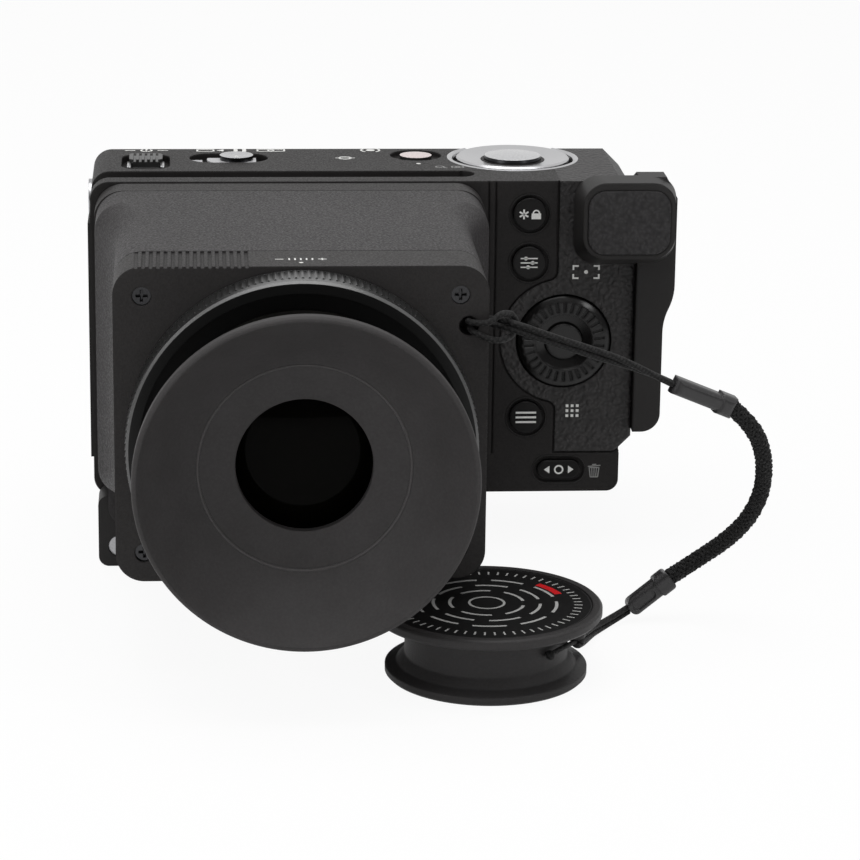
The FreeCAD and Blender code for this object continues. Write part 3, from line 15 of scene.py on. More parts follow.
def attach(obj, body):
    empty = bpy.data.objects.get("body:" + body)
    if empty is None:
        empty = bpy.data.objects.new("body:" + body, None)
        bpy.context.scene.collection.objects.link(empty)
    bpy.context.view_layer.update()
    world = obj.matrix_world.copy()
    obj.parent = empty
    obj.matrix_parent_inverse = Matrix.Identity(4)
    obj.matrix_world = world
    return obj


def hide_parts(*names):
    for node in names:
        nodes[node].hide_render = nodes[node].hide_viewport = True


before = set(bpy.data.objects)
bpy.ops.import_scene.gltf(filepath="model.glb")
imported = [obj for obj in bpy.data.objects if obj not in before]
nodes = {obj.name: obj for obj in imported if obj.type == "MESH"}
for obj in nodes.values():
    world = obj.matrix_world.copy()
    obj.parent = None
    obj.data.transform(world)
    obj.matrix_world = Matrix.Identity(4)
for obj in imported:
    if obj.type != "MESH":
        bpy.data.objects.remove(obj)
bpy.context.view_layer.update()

MM = 0.001
ORIGIN = Vector((4.825, -26.9715, -13.0))

# Photograph: pinhole camera in the body's axes, angles in radians
EYE = Vector((-35.58, -696.31, 217.82))
YAW = 0.07317
PITCH = 0.28411
ROLL = 0.01323
FOCAL_PX = 3395.07
PHOTO_PX = 860
SENSOR_MM = 36.0

# Light that mirrors, the object and the camera meet, where 1 is white
MIRROR_LOW = 0.13
MIRROR_HIGH = 0.80
WORLD_LIGHT = 0.42
FLOOR_SEEN = 0.93
FLOOR_MIRRORED = 0.42
FLOOR_COLOR = (0.86, 0.86, 0.86)
FLOOR_HALF = 3.0

# Lamps: name, place, size and power
LAMPS = (("top_softbox", (-0.05, -0.10, 0.95), (0.9, 0.7), 6.3),
         ("left_softbox", (-0.90, -0.60, 0.50), (0.45, 0.7), 3.2),
         ("right_softbox", (0.80, -0.70, 0.75), (0.25, 0.25), 1.4))
LAMPS_AIM = (0.0, 0.0, 0.05)

# Sizes shared with the solids
BODY_H = 68.3
DIAL = (34.4, 24.4)
MODE_KNOB = (-25.4, 24.4)
POWER_X = -44.85
POWER_KNOB_W = 7.1
POWER_KNOB_Y0 = 19.5
SLOT_FLOOR = BODY_H - 1.6
SLOT_PLATE = BODY_H - 0.3
BUTTON_X = 36.0
BUTTON_Z = (61.2, 50.7, 16.7)
MODE_BUTTON = (43.35, 4.95)
BUTTON_FACE = -0.3
COVER_TOP = 68.1
CAP = (21.4, -75.6)
LABEL_TOP = 1.05
LABEL_R = 20.6
EYE_AXIS = (-14.6, 34.2)
CREASE = (19.6, -93.9)
BRAID_D = 3.7
MODE_KNOB_TOP = BODY_H + 0.35

# Strands of the cords, in metres
TWIN_STRAND_R = 0.00062
BRAID_STRANDS = 8
BRAID_STRAND_R = 0.00042
BRAID_PITCH = 0.0100

UPPER_ROUTE = [(19.0, -70.6, 56.35), (22.4, -71.4, 56.4), (26.9, -75.6, 56.0), (30.9, -75.0, 54.4),
               (34.8, -73.9, 52.8), (38.8, -72.6, 51.2), (42.8, -71.0, 49.5), (46.9, -69.6, 47.8),
               (50.95, -68.2, 45.85), (54.65, -67.2, 44.0), (57.54, -66.5, 42.46)]
STRAP_ROUTE = [(69.83, -64.0, 36.92), (72.9, -63.4, 34.08), (75.65, -62.0, 30.17), (77.22, -60.2, 25.72),
               (77.81, -58.2, 20.97), (77.65, -56.2, 16.49), (76.35, -53.6, 11.59), (74.19, -51.0, 7.4),
               (71.21, -48.8, 3.74), (67.47, -47.2, 0.47), (63.56, -46.6, -2.48), (61.37, -46.5, -3.99)]
LOWER_ROUTE = [(52.97, -47.6, -10.4), (51.05, -49.2, -11.0), (48.76, -51.35, -11.5), (46.34, -54.61, -11.6),
               (44.26, -58.47, -11.2), (42.06, -65.16, -10.0), (40.2, -72.42, -8.2), (38.76, -77.95, -6.6),
               (38.3, -79.8, -5.8)]


def at(x, y, z):
    """A place in the body's axes, in millimetres, as a point of the stored frame in metres."""
    return (Vector((x, y, z)) - ORIGIN) * MM


# Camera, floor and light

def aim_camera():
    forward = Vector((math.sin(YAW) * math.cos(PITCH), math.cos(YAW) * math.cos(PITCH), -math.sin(PITCH)))
    level = Vector((math.cos(YAW), -math.sin(YAW), 0.0))
    above = level.cross(forward)
    right = math.cos(ROLL) * level + math.sin(ROLL) * above
    up = math.cos(ROLL) * above - math.sin(ROLL) * level
    data = bpy.data.cameras.new("photo_camera")
    data.sensor_width = SENSOR_MM
    data.lens = FOCAL_PX * SENSOR_MM / PHOTO_PX
    data.clip_start = 0.01
    camera = bpy.data.objects.new("photo_camera", data)
    bpy.context.scene.collection.objects.link(camera)
    turn = Matrix((right, up, -forward)).transposed().to_4x4()
    camera.matrix_world = Matrix.Translation(at(*EYE)) @ turn
    bpy.context.scene.camera = camera


def add_light(name, place, size, power):
    data = bpy.data.lights.new(name, "AREA")
    data.shape = "RECTANGLE"
    data.size = size[0]
    data.size_y = size[1]
    data.energy = power
    light = bpy.data.objects.new(name, data)
    bpy.context.scene.collection.objects.link(light)
    light.location = place
    light.rotation_euler = (Vector(LAMPS_AIM) - Vector(place)).to_track_quat("-Z", "Y").to_euler()


def linked_math(tree, operation, a, b):
    """Maths node on two values, each of them a number or a socket."""
    node = tree.nodes.new("ShaderNodeMath")
    node.operation = operation
    for socket, value in zip(node.inputs, (a, b)):
        if isinstance(value, float):
            socket.default_value = value
        else:
            tree.links.new(value, socket)
    return node.outputs[0]


def background(tree, strength):
    node = tree.nodes.new("ShaderNodeBackground")
    node.inputs["Color"].default_value = (1.0, 1.0, 1.0, 1.0)
    if isinstance(strength, float):
        node.inputs["Strength"].default_value = strength
    else:
        tree.links.new(strength, node.inputs["Strength"])
    return node.outputs[0]


def mixed(tree, share, a, b):
    node = tree.nodes.new("ShaderNodeMixShader")
    tree.links.new(share, node.inputs["Fac"])
    tree.links.new(a, node.inputs[1])
    tree.links.new(b, node.inputs[2])
    return node.outputs[0]


def light_world():
    """White for the camera and through glass. Mirrors see it dimmed, most of all low behind the camera."""
    world = bpy.data.worlds.new("studio")
    bpy.context.scene.world = world
    world.use_nodes = True
    tree = world.node_tree
    tree.nodes.clear()
    path = tree.nodes.new("ShaderNodeLightPath")
    coords = tree.nodes.new("ShaderNodeTexCoord")
    split = tree.nodes.new("ShaderNodeSeparateXYZ")
    tree.links.new(coords.outputs["Generated"], split.inputs[0])
    up = linked_math(tree, "MULTIPLY", split.outputs["Z"], 0.75)
    away = linked_math(tree, "MULTIPLY", split.outputs["Y"], 0.65)
    slope = tree.nodes.new("ShaderNodeMapRange")
    slope.interpolation_type = "SMOOTHSTEP"
    slope.inputs["From Min"].default_value = -0.55
    slope.inputs["From Max"].default_value = 0.75
    slope.inputs["To Min"].default_value = MIRROR_LOW
    slope.inputs["To Max"].default_value = MIRROR_HIGH
    tree.links.new(linked_math(tree, "ADD", up, away), slope.inputs["Value"])
    mirrored = background(tree, slope.outputs["Result"])
    object_light = mixed(tree, path.outputs["Is Glossy Ray"], background(tree, WORLD_LIGHT), mirrored)
    direct = linked_math(tree, "MAXIMUM", path.outputs["Is Camera Ray"], path.outputs["Is Transmission Ray"])
    out = tree.nodes.new("ShaderNodeOutputWorld")
    tree.links.new(mixed(tree, direct, object_light, background(tree, 1.0)), out.inputs["Surface"])


def lay_floor():
    mesh = bpy.data.meshes.new("floor")
    half = FLOOR_HALF
    corners = [(-half, -half, 0), (half, -half, 0), (half, half, 0), (-half, half, 0)]
    mesh.from_pydata(corners, [], [(0, 1, 2, 3)])
    floor = bpy.data.objects.new("floor", mesh)
    bpy.context.scene.collection.objects.link(floor)
    material = bpy.data.materials.new("floor")
    material.use_nodes = True
    tree = material.node_tree
    tree.nodes.clear()
    path = tree.nodes.new("ShaderNodeLightPath")
    matt = tree.nodes.new("ShaderNodeBsdfDiffuse")
    matt.inputs["Color"].default_value = (*FLOOR_COLOR, 1.0)
    glow = tree.nodes.new("ShaderNodeEmission")
    glow.inputs["Strength"].default_value = 1.0
    direct = linked_math(tree, "MAXIMUM", path.outputs["Is Camera Ray"], path.outputs["Is Transmission Ray"])
    seen = linked_math(tree, "MULTIPLY", direct, FLOOR_SEEN)
    mirrored = linked_math(tree, "MULTIPLY", path.outputs["Is Glossy Ray"], FLOOR_MIRRORED)
    share = linked_math(tree, "ADD", seen, mirrored)
    out = tree.nodes.new("ShaderNodeOutputMaterial")
    tree.links.new(mixed(tree, share, matt.outputs[0], glow.outputs[0]), out.inputs["Surface"])
    floor.data.materials.append(material)


def light_stage():
    bpy.context.scene.view_settings.view_transform = "Standard"
    light_world()
    lay_floor()
    for name, place, size, power in LAMPS:
        add_light(name, place, size, power)


# Materials

def shader(name, color, roughness, metallic=0.0, specular=0.5):
    """New material, with its node tree and its main shader."""
    material = bpy.data.materials.new(name)
    material.use_nodes = True
    tree = material.node_tree
    bsdf = tree.nodes["Principled BSDF"]
    bsdf.inputs["Base Color"].default_value = (*color, 1.0)
    bsdf.inputs["Roughness"].default_value = roughness
    bsdf.inputs["Metallic"].default_value = metallic
    bsdf.inputs["Specular IOR Level"].default_value = specular
    return material, tree, bsdf


def object_coords(tree):
    return tree.nodes.new("ShaderNodeTexCoord").outputs["Object"]


def noise(tree, vector, scale, detail=2.0, rough=0.5):
    node = tree.nodes.new("ShaderNodeTexNoise")
    node.inputs["Scale"].default_value = scale
    node.inputs["Detail"].default_value = detail
    node.inputs["Roughness"].default_value = rough
    tree.links.new(vector, node.inputs["Vector"])
    return node.outputs["Fac"]


def ramp(tree, value, stops):
    node = tree.nodes.new("ShaderNodeValToRGB")
    elements = node.color_ramp.elements
    while len(elements) < len(stops):
        elements.new(0.5)
    for element, (position, color) in zip(elements, stops):
        element.position = position
        element.color = (*color, 1.0)
    tree.links.new(value, node.inputs["Fac"])
    return node.outputs["Color"]


def scaled(color, factor):
    return tuple(c * factor for c in color)


def blended(tree, a, b, share, way):
    """Colour made of the colours a and b."""
    mix = tree.nodes.new("ShaderNodeMix")
    mix.data_type = "RGBA"
    mix.blend_type = way
    mix.inputs["Factor"].default_value = share
    tree.links.new(a, mix.inputs["A"])
    tree.links.new(b, mix.inputs["B"])
    return mix.outputs["Result"]


def bump(tree, bsdf, height, distance, strength=1.0, under=None):
    """Relief from height, laid over the surface direction under where that is given."""
    node = tree.nodes.new("ShaderNodeBump")
    node.inputs["Strength"].default_value = strength
    node.inputs["Distance"].default_value = distance
    tree.links.new(height, node.inputs["Height"])
    if under is not None:
        tree.links.new(under, node.inputs["Normal"])
    tree.links.new(node.outputs["Normal"], bsdf.inputs["Normal"])


def rounded_edges(tree, radius):
    node = tree.nodes.new("ShaderNodeBevel")
    node.samples = 4
    node.inputs["Radius"].default_value = radius
    return node.outputs["Normal"]


def grained(name, color, roughness, grain, depth, spread=0.25, metallic=0.0, edge=0.00025, specular=0.5,
            sparkle=0.0):
    """Fine even grain, such as sprayed paint or spark-eroded plastic; grain is its size in metres."""
    material, tree, bsdf = shader(name, color, roughness, metallic, specular)
    vector = object_coords(tree)
    fine = noise(tree, vector, 1.0 / grain, 3.0, 0.6)
    broad = noise(tree, vector, 28.0, 2.0)
    tint = ramp(tree, broad, [(0.3, scaled(color, 1.0 - spread)), (0.7, scaled(color, 1.0 + spread))])
    speck = ramp(tree, fine, [(0.35, scaled(color, 0.85)), (0.72, scaled(color, 1.25))])
    tree.links.new(blended(tree, tint, speck, 0.5, "MIX"), bsdf.inputs["Base Color"])
    if sparkle > 0.0:
        gloss = tree.nodes.new("ShaderNodeMapRange")
        gloss.inputs["From Min"].default_value = 0.36
        gloss.inputs["From Max"].default_value = 0.64
        gloss.inputs["To Min"].default_value = roughness + sparkle
        gloss.inputs["To Max"].default_value = roughness - sparkle
        tree.links.new(fine, gloss.inputs["Value"])
        tree.links.new(gloss.outputs["Result"], bsdf.inputs["Roughness"])
    bump(tree, bsdf, fine, depth, 0.6, rounded_edges(tree, edge))
    return material


def leather(name, color, specular, fineness, depth):
    """Leather grain of small uneven cells, painted paler on their tops and darker between them as light and
    shade.
    """
    material, tree, bsdf = shader(name, color, 0.5, specular=specular)
    vector = object_coords(tree)
    warp = tree.nodes.new("ShaderNodeTexNoise")
    warp.inputs["Scale"].default_value = 500.0
    tree.links.new(vector, warp.inputs["Vector"])
    shift = tree.nodes.new("ShaderNodeVectorMath")
    shift.operation = "MULTIPLY_ADD"
    shift.inputs[1].default_value = (0.0012, 0.0012, 0.0012)
    tree.links.new(warp.outputs["Color"], shift.inputs[0])
    tree.links.new(vector, shift.inputs[2])
    cells = tree.nodes.new("ShaderNodeTexVoronoi")
    cells.feature = "SMOOTH_F1"
    cells.inputs["Scale"].default_value = fineness
    tree.links.new(shift.outputs[0], cells.inputs["Vector"])
    tint = ramp(tree, cells.outputs["Distance"], [(0.1, scaled(color, 1.22)), (0.7, scaled(color, 0.55))])
    tree.links.new(tint, bsdf.inputs["Base Color"])
    invert = tree.nodes.new("ShaderNodeMath")
    invert.operation = "SUBTRACT"
    invert.inputs[0].default_value = 1.0
    tree.links.new(cells.outputs["Distance"], invert.inputs[1])
    bump(tree, bsdf, invert.outputs[0], depth, 1.0, rounded_edges(tree, 0.0005))
    return material


def turned_metal(name, color, centre, roughness=0.28):
    """Concentric tool marks about an upright axis through centre."""
    material, tree, bsdf = shader(name, color, roughness, 1.0)
    coords = tree.nodes.new("ShaderNodeTexCoord")
    offset = tree.nodes.new("ShaderNodeVectorMath")
    offset.operation = "SUBTRACT"
    offset.inputs[1].default_value = centre
    tree.links.new(coords.outputs["Object"], offset.inputs[0])
    rings = tree.nodes.new("ShaderNodeTexWave")
    rings.wave_type = "RINGS"
    rings.rings_direction = "Z"
    rings.inputs["Scale"].default_value = 1400.0
    rings.inputs["Distortion"].default_value = 0.6
    tree.links.new(offset.outputs[0], rings.inputs["Vector"])
    tint = ramp(tree, rings.outputs["Fac"], [(0.0, scaled(color, 0.9)), (1.0, color)])
    tree.links.new(tint, bsdf.inputs["Base Color"])
    bump(tree, bsdf, rings.outputs["Fac"], 0.00001, 0.5, rounded_edges(tree, 0.0002))
    return material


def glass(name, color, ior, polish=0.02):
    """Clear tinted glass with faint wiping marks in its polish."""
    material, tree, bsdf = shader(name, color, polish)
    bsdf.inputs["Transmission Weight"].default_value = 1.0
    bsdf.inputs["IOR"].default_value = ior
    vector = object_coords(tree)
    fine = noise(tree, vector, 60.0, 1.0)
    rough = tree.nodes.new("ShaderNodeMapRange")
    rough.inputs["To Min"].default_value = polish
    rough.inputs["To Max"].default_value = polish * 1.5
    tree.links.new(fine, rough.inputs["Value"])
    tree.links.new(rough.outputs["Result"], bsdf.inputs["Roughness"])
    return material


def painted_shade_lens(name, color, ior):
    """Nearly black stand-in for a clear lens, painted shade of the dark finder behind it, with faint clouds
    in its tint.
    """
    material, tree, bsdf = shader(name, color, 0.03)
    bsdf.inputs["Transmission Weight"].default_value = 0.35
    bsdf.inputs["IOR"].default_value = ior
    cloud = noise(tree, object_coords(tree), 70.0, 2.0)
    bloom = ramp(tree, cloud, [(0.3, scaled(color, 0.85)), (0.7, scaled(color, 1.15))])
    tree.links.new(bloom, bsdf.inputs["Base Color"])
    return material


def cloth(name, color):
    """Braided cord: slanting rows of fine stitches, uneven in tone, painted paler on their raised tops and
    darker in the grooves as light and shade.
    """
    material, tree, bsdf = shader(name, color, 0.62, specular=0.2)
    rows = None
    for slant in ((1.0, 0.4, 1.0), (1.0, -0.4, -1.0)):
        wave = tree.nodes.new("ShaderNodeTexWave")
        wave.wave_type = "BANDS"
        wave.bands_direction = "X"
        wave.inputs["Scale"].default_value = 420.0
        wave.inputs["Distortion"].default_value = 1.2
        wave.inputs["Detail Scale"].default_value = 900.0
        coords = tree.nodes.new("ShaderNodeTexCoord")
        turn = tree.nodes.new("ShaderNodeMapping")
        turn.vector_type = "TEXTURE"
        tilt = math.atan2(slant[2], slant[0])
        swing = math.atan2(slant[1], slant[0])
        turn.inputs["Rotation"].default_value = (0.0, tilt, swing)
        tree.links.new(coords.outputs["Object"], turn.inputs["Vector"])
        tree.links.new(turn.outputs["Vector"], wave.inputs["Vector"])
        band = wave.outputs["Fac"]
        rows = band if rows is None else linked_math(tree, "MULTIPLY", rows, band)
    fine = noise(tree, object_coords(tree), 2600.0, 2.0)
    height = linked_math(tree, "ADD", rows, linked_math(tree, "MULTIPLY", fine, 0.8))
    tint = ramp(tree, height, [(0.25, scaled(color, 0.35)), (0.95, scaled(color, 2.4))])
    tree.links.new(tint, bsdf.inputs["Base Color"])
    bsdf.inputs["Sheen Weight"].default_value = 0.03
    bump(tree, bsdf, height, 0.00012, 0.8)
    return material


def dress(material, *names):
    for name in names:
        data = nodes[name].data
        data.materials.clear()
        data.materials.append(material)


def by_side(tree, value, start, end, low, high):
    """Colour that goes from low to high while value goes from start to end, and the share of high in it."""
    step = tree.nodes.new("ShaderNodeMapRange")
    step.inputs["From Min"].default_value = start
    step.inputs["From Max"].default_value = end
    tree.links.new(value, step.inputs["Value"])
    mix = tree.nodes.new("ShaderNodeMix")
    mix.data_type = "RGBA"
    mix.inputs["A"].default_value = (*low, 1.0)
    mix.inputs["B"].default_value = (*high, 1.0)
    tree.links.new(step.outputs["Result"], mix.inputs["Factor"])
    return mix.outputs["Result"], step.outputs["Result"]


def facing(tree, axis):
    """How far the surface faces along one of the object's own axes."""
    coords = tree.nodes.new("ShaderNodeTexCoord")
    split = tree.nodes.new("ShaderNodeSeparateXYZ")
    tree.links.new(coords.outputs["Normal"], split.inputs[0])
    return split.outputs[axis]


def faced(name, axis, start, end, low, high, roughness, metallic=0.0, specular=0.5, high_is_bare=False):
    """Two colours by the surface's own direction along an axis: two finishes, or a bright top over walls
    painted darker as shade.
    """
    material, tree, bsdf = shader(name, low, roughness, metallic, specular)
    tint, share = by_side(tree, facing(tree, axis), start, end, low, high)
    fine = noise(tree, object_coords(tree), 1.0 / 0.0004, 3.0, 0.6)
    shade = ramp(tree, fine, [(0.3, (0.9, 0.9, 0.9)), (0.7, (1.08, 1.08, 1.08))])
    tree.links.new(blended(tree, tint, shade, 1.0, "MULTIPLY"), bsdf.inputs["Base Color"])
    if high_is_bare:
        tree.links.new(share, bsdf.inputs["Metallic"])
    bump(tree, bsdf, fine, 0.00001, 0.5, rounded_edges(tree, 0.00015))
    return material


def slider_finish():
    """Gloss black knob; only the two rail ends in front of it are bright metal."""
    material, tree, bsdf = shader("slider_finish", (0.02, 0.02, 0.02), 0.3, specular=0.4)
    coords = object_coords(tree)
    split = tree.nodes.new("ShaderNodeSeparateXYZ")
    tree.links.new(coords, split.inputs[0])
    middle = at(POWER_X, 0.0, 0.0).x
    away = linked_math(tree, "ABSOLUTE", linked_math(tree, "SUBTRACT", split.outputs["X"], middle), 0.0)
    beside = linked_math(tree, "GREATER_THAN", away, (POWER_KNOB_W / 2 - 0.42) * MM)
    before = linked_math(tree, "LESS_THAN", split.outputs["Y"], at(0.0, POWER_KNOB_Y0 - 0.05, 0.0).y)
    share = linked_math(tree, "MULTIPLY", beside, before)
    fine = noise(tree, coords, 3000.0, 2.0)
    dark = ramp(tree, fine, [(0.3, (0.016, 0.016, 0.016)), (0.7, (0.024, 0.024, 0.024))])
    mix = tree.nodes.new("ShaderNodeMix")
    mix.data_type = "RGBA"
    mix.inputs["B"].default_value = (0.50, 0.50, 0.51, 1.0)
    tree.links.new(share, mix.inputs["Factor"])
    tree.links.new(dark, mix.inputs["A"])
    tree.links.new(mix.outputs["Result"], bsdf.inputs["Base Color"])
    tree.links.new(share, bsdf.inputs["Metallic"])
    bump(tree, bsdf, fine, 0.000008, 0.5, rounded_edges(tree, 0.0003))
    return material


def cup_rubber(name, color, roughness):
    """Soft rubber of one colour, with fine grain and faint smudges."""
    material, tree, bsdf = shader(name, color, roughness, specular=0.2)
    vector = object_coords(tree)
    fine = noise(tree, vector, 1700.0, 3.0, 0.6)
    smudge = noise(tree, vector, 95.0, 3.0, 0.6)
    speck = ramp(tree, fine, [(0.35, scaled(color, 0.92)), (0.72, scaled(color, 1.10))])
    patch = ramp(tree, smudge, [(0.35, (0.93, 0.93, 0.93)), (0.7, (1.10, 1.10, 1.11))])
    tree.links.new(blended(tree, speck, patch, 1.0, "MULTIPLY"), bsdf.inputs["Base Color"])
    bump(tree, bsdf, fine, 0.00002, 0.6, rounded_edges(tree, 0.0005))
    return material


PAINT = grained("body_paint", (0.0174, 0.0160, 0.0158), 0.50, 0.00040, 0.00012,
                edge=0.0006, specular=0.15, sparkle=0.10)
GRIP_PAINT = grained("grip_paint", (0.0225, 0.0213, 0.0210), 0.48, 0.00025, 0.00003,
                     edge=0.0007, specular=0.18)
BRACKET_PAINT = grained("bracket_paint", (0.0235, 0.0223, 0.0220), 0.50, 0.00025, 0.00003,
                        edge=0.0004, specular=0.18)
CAP_PLASTIC = grained("cap_plastic", (0.0310, 0.0294, 0.0296), 0.46, 0.0005, 0.00008,
                      edge=0.0006, specular=0.22)
DARK_PLASTIC = grained("dark_plastic", (0.0262, 0.0244, 0.0242), 0.52, 0.00040, 0.00010,
                       edge=0.0005, specular=0.15, sparkle=0.10)
FINDER_PLASTIC = grained("finder_plastic", (0.0345, 0.0323, 0.0330), 0.52, 0.00045, 0.00022,
                         edge=0.0006, specular=0.15, sparkle=0.14)
RUBBER = grained("rubber", (0.031, 0.0288, 0.0282), 0.62, 0.0006, 0.00002, 0.12, specular=0.2)
# The bead is a fold of the eyecup's rubber, painted paler as a highlight along the crease.
BEAD_RUBBER = grained("bead_rubber", (0.052, 0.0485, 0.0485), 0.45, 0.0006, 0.00002, 0.1, specular=0.35)
CUP_RUBBER = cup_rubber("cup_rubber", (0.0380, 0.0357, 0.0357), 0.56)
DOOR_RUBBER = grained("door_rubber", (0.020, 0.019, 0.019), 0.60, 0.0005, 0.00002, 0.12, specular=0.2)
DARK_METAL = grained("dark_metal", (0.010, 0.010, 0.0105), 0.42, 0.0002, 0.00002, 0.2, 0.4, specular=0.15)
# pit_black is paler than the body paint: painted light that lifts the shade inside the finder barrel and lens
# cell.
PIT_BLACK = grained("pit_black", (0.0230, 0.0224, 0.0205), 0.60, 0.0004, 0.00002, 0.2, specular=0.08)
GLOSS = grained("gloss_black", (0.0070, 0.0065, 0.0064), 0.24, 0.0012, 0.000004, 0.15,
                edge=0.0007, specular=0.14)
WHEEL_BLACK = grained("wheel_black", (0.0052, 0.0048, 0.0047), 0.21, 0.0006, 0.000004, 0.15,
                      edge=0.0007, specular=0.32)
HEAT_METAL = grained("heat_metal", (0.040, 0.040, 0.041), 0.45, 0.0003, 0.00002, 0.2, 0.3)
LABEL_BLACK = grained("label_black", (0.0065, 0.0063, 0.0063), 0.42, 0.0005, 0.00001, 0.15, specular=0.15)
LEATHER = leather("leather", (0.0255, 0.0237, 0.0237), 0.34, 1300.0, 0.00034)
PAD = leather("thumb_leather", (0.0262, 0.0246, 0.0255), 0.30, 1350.0, 0.00022)
CORD = cloth("cord", (0.0088, 0.0086, 0.0086))
CONNECTOR = grained("connector_plastic", (0.0200, 0.0192, 0.0200), 0.33, 0.0012, 0.00006,
                    0.25, edge=0.0005, specular=0.5)
SILVER = turned_metal("turned_silver", (0.60, 0.60, 0.61), at(*DIAL, BODY_H))
STEEL = grained("steel", (0.45, 0.45, 0.46), 0.3, 0.0004, 0.00001, 0.1, 1.0)
DARK_STEEL = grained("dark_steel", (0.045, 0.045, 0.047), 0.24, 0.0004, 0.00001, 0.1, 1.0)
WHITE_PRINT = grained("white_print", (0.72, 0.72, 0.70), 0.5, 0.0003, 0.000004, 0.04, edge=0.00001)
GREY_PRINT = grained("grey_print", (0.22, 0.22, 0.215), 0.5, 0.0003, 0.000004, 0.04, edge=0.00001)
RED_PRINT = grained("red_print", (0.58, 0.014, 0.018), 0.5, 0.0003, 0.000004, 0.04,
                    edge=0.00001, specular=0.1)
LABEL_PRINT = grained("label_print", (0.42, 0.42, 0.41), 0.5, 0.0003, 0.000004, 0.04,
                      edge=0.00001, specular=0.1)
SATIN = grained("satin_metal", (0.48, 0.48, 0.49), 0.42, 0.0004, 0.00001, 0.08, 0.3, edge=0.0001)


def dress_solids():
    dress(PAINT, "rear_housing", "front_housing", "top_cover", "battery_door")
    dress(GRIP_PAINT, "grip_frame")
    dress(BRACKET_PAINT, "base_bracket")
    dress(CAP_PLASTIC, "cap_body")
    dress(DARK_PLASTIC, "finder_cover", "finder_frame", "battery", "battery_latch", "port_sockets")
    # Black face towards the eye and bare metal knurling round it
    knurled = faced("ring_black", "Y", -0.95, -0.6, (0.005, 0.005, 0.005), (0.16, 0.16, 0.16), 0.34,
                    specular=0.25, high_is_bare=True)
    dress(knurled, "diopter_ring")
    dress(WHEEL_BLACK, "control_wheel", "centre_button")
    dress(CONNECTOR, "upper_connector", "lower_connector")
    dress(LABEL_BLACK, "cap_label")
    dress(FINDER_PLASTIC, "finder_hood")
    dress(CUP_RUBBER, "eyecup")
    dress(RUBBER, "finder_gasket")
    dress(DOOR_RUBBER, "port_door")
    dress(DARK_METAL, "sensor_frame")
    dress(HEAT_METAL, "heat_sink")
    dress(PIT_BLACK, "finder_barrel", "lens_cell")
    dress(LEATHER, "end_cover")
    dress(PAD, "thumb_pad")
    dress(GLOSS, "exposure_lock_button", "quick_set_button", "menu_button", "mode_button",
          "lens_release_button", "screen_panel", "image_sensor")
    dress(slider_finish(), "power_switch")
    dress(SILVER, "top_dial", "dial_trim")
    # dark and black are painted shade: the side walls of the shutter button, mode switch and record button
    # are painted darker than their bright tops, in place of the shade and dark reflections on them.
    dark = (0.05, 0.05, 0.052)
    black = (0.02, 0.02, 0.02)
    for name, material, low, high, roughness, metallic in (
            ("shutter_button", "release_metal", dark, (0.68, 0.68, 0.69), 0.26, 1.0),
            ("mode_switch", "slider_metal", dark, (0.62, 0.62, 0.63), 0.26, 1.0),
            ("record_button", "record_white", black, (0.62, 0.54, 0.53), 0.3, 0.0)):
        dress(faced(material, "Z", 0.5, 0.8, low, high, roughness, metallic), name)
    dress(STEEL, "lens_mount_ring", "mount_screws", "bracket_screw", "bracket_socket", "screw_sockets",
          "grip_screw", "lens_lock_pin", "bracket_pins")
    dress(DARK_STEEL, "cover_screws")
    dress(grained("gold_contacts", (0.75, 0.55, 0.22), 0.3, 0.0006, 0.00001, 0.1, 1.0), "contact_block")
    dress(grained("board", (0.02, 0.10, 0.06), 0.4, 0.0008, 0.00002), "main_board")
    dress(glass("lens_glass", (0.35, 0.37, 0.36), 1.12), "field_lens")
    # Eye lens drawn nearly black: painted shade of the dark finder behind it.
    dress(painted_shade_lens("painted_shade_lens", (0.0022, 0.0021, 0.0016), 1.10), "eye_lens")
    dress(glass("filter_glass", (0.75, 0.85, 0.82), 1.4), "sensor_filter")
    screen = grained("screen_glass", (0.004, 0.004, 0.004), 0.12, 0.002, 0.000002, 0.1, specular=0.3)
    dress(screen, "screen_glass")


# Cord

def route_curve(name, route):
    """Open spline through a cord's route, with the route's points as its control points."""
    data = bpy.data.curves.new(name, "CURVE")
    data.dimensions = "3D"
    data.resolution_u = 24
    spline = data.splines.new("NURBS")
    spline.points.add(len(route) - 1)
    for point, place in zip(spline.points, route):
        point.co = (*at(*place), 1.0)
    spline.order_u = 3
    spline.use_endpoint_u = True
    curve = bpy.data.objects.new(name, data)
    bpy.context.scene.collection.objects.link(curve)
    return curve


def route_line(name, route):
    """Points along the smooth line of a route, as the curve itself evaluates it."""
    curve = route_curve(name, route)
    mesh = bpy.data.meshes.new_from_object(curve)
    line = [v.co.copy() for v in mesh.vertices]
    bpy.data.meshes.remove(mesh)
    bpy.data.objects.remove(curve)
    return line


def even_line(line, step):
    """The same line with points an even distance apart, and its length."""
    places = [0.0]
    for a, b in zip(line, line[1:]):
        places.append(places[-1] + (b - a).length)
    total = places[-1]
    count = max(2, round(total / step))
    out = []
    j = 0
    for i in range(count + 1):
        s = total * i / count
        while j < len(places) - 2 and places[j + 1] < s:
            j += 1
        span = places[j + 1] - places[j]
        share = (s - places[j]) / span if span > 0 else 0.0
        out.append(line[j].lerp(line[j + 1], min(1.0, share)))
    return out, total


def frames_along(line):
    """A tangent and two square directions at each point, carried along without twist."""
    tangents = []
    for i in range(len(line)):
        a = line[max(0, i - 1)]
        b = line[min(len(line) - 1, i + 1)]
        tangents.append((b - a).normalized())
    side = tangents[0].cross(Vector((0, 0, 1))).normalized()
    out = []
    for tangent in tangents:
        side = (side - tangent * side.dot(tangent)).normalized()
        out.append((tangent, side, tangent.cross(side)))
    return out


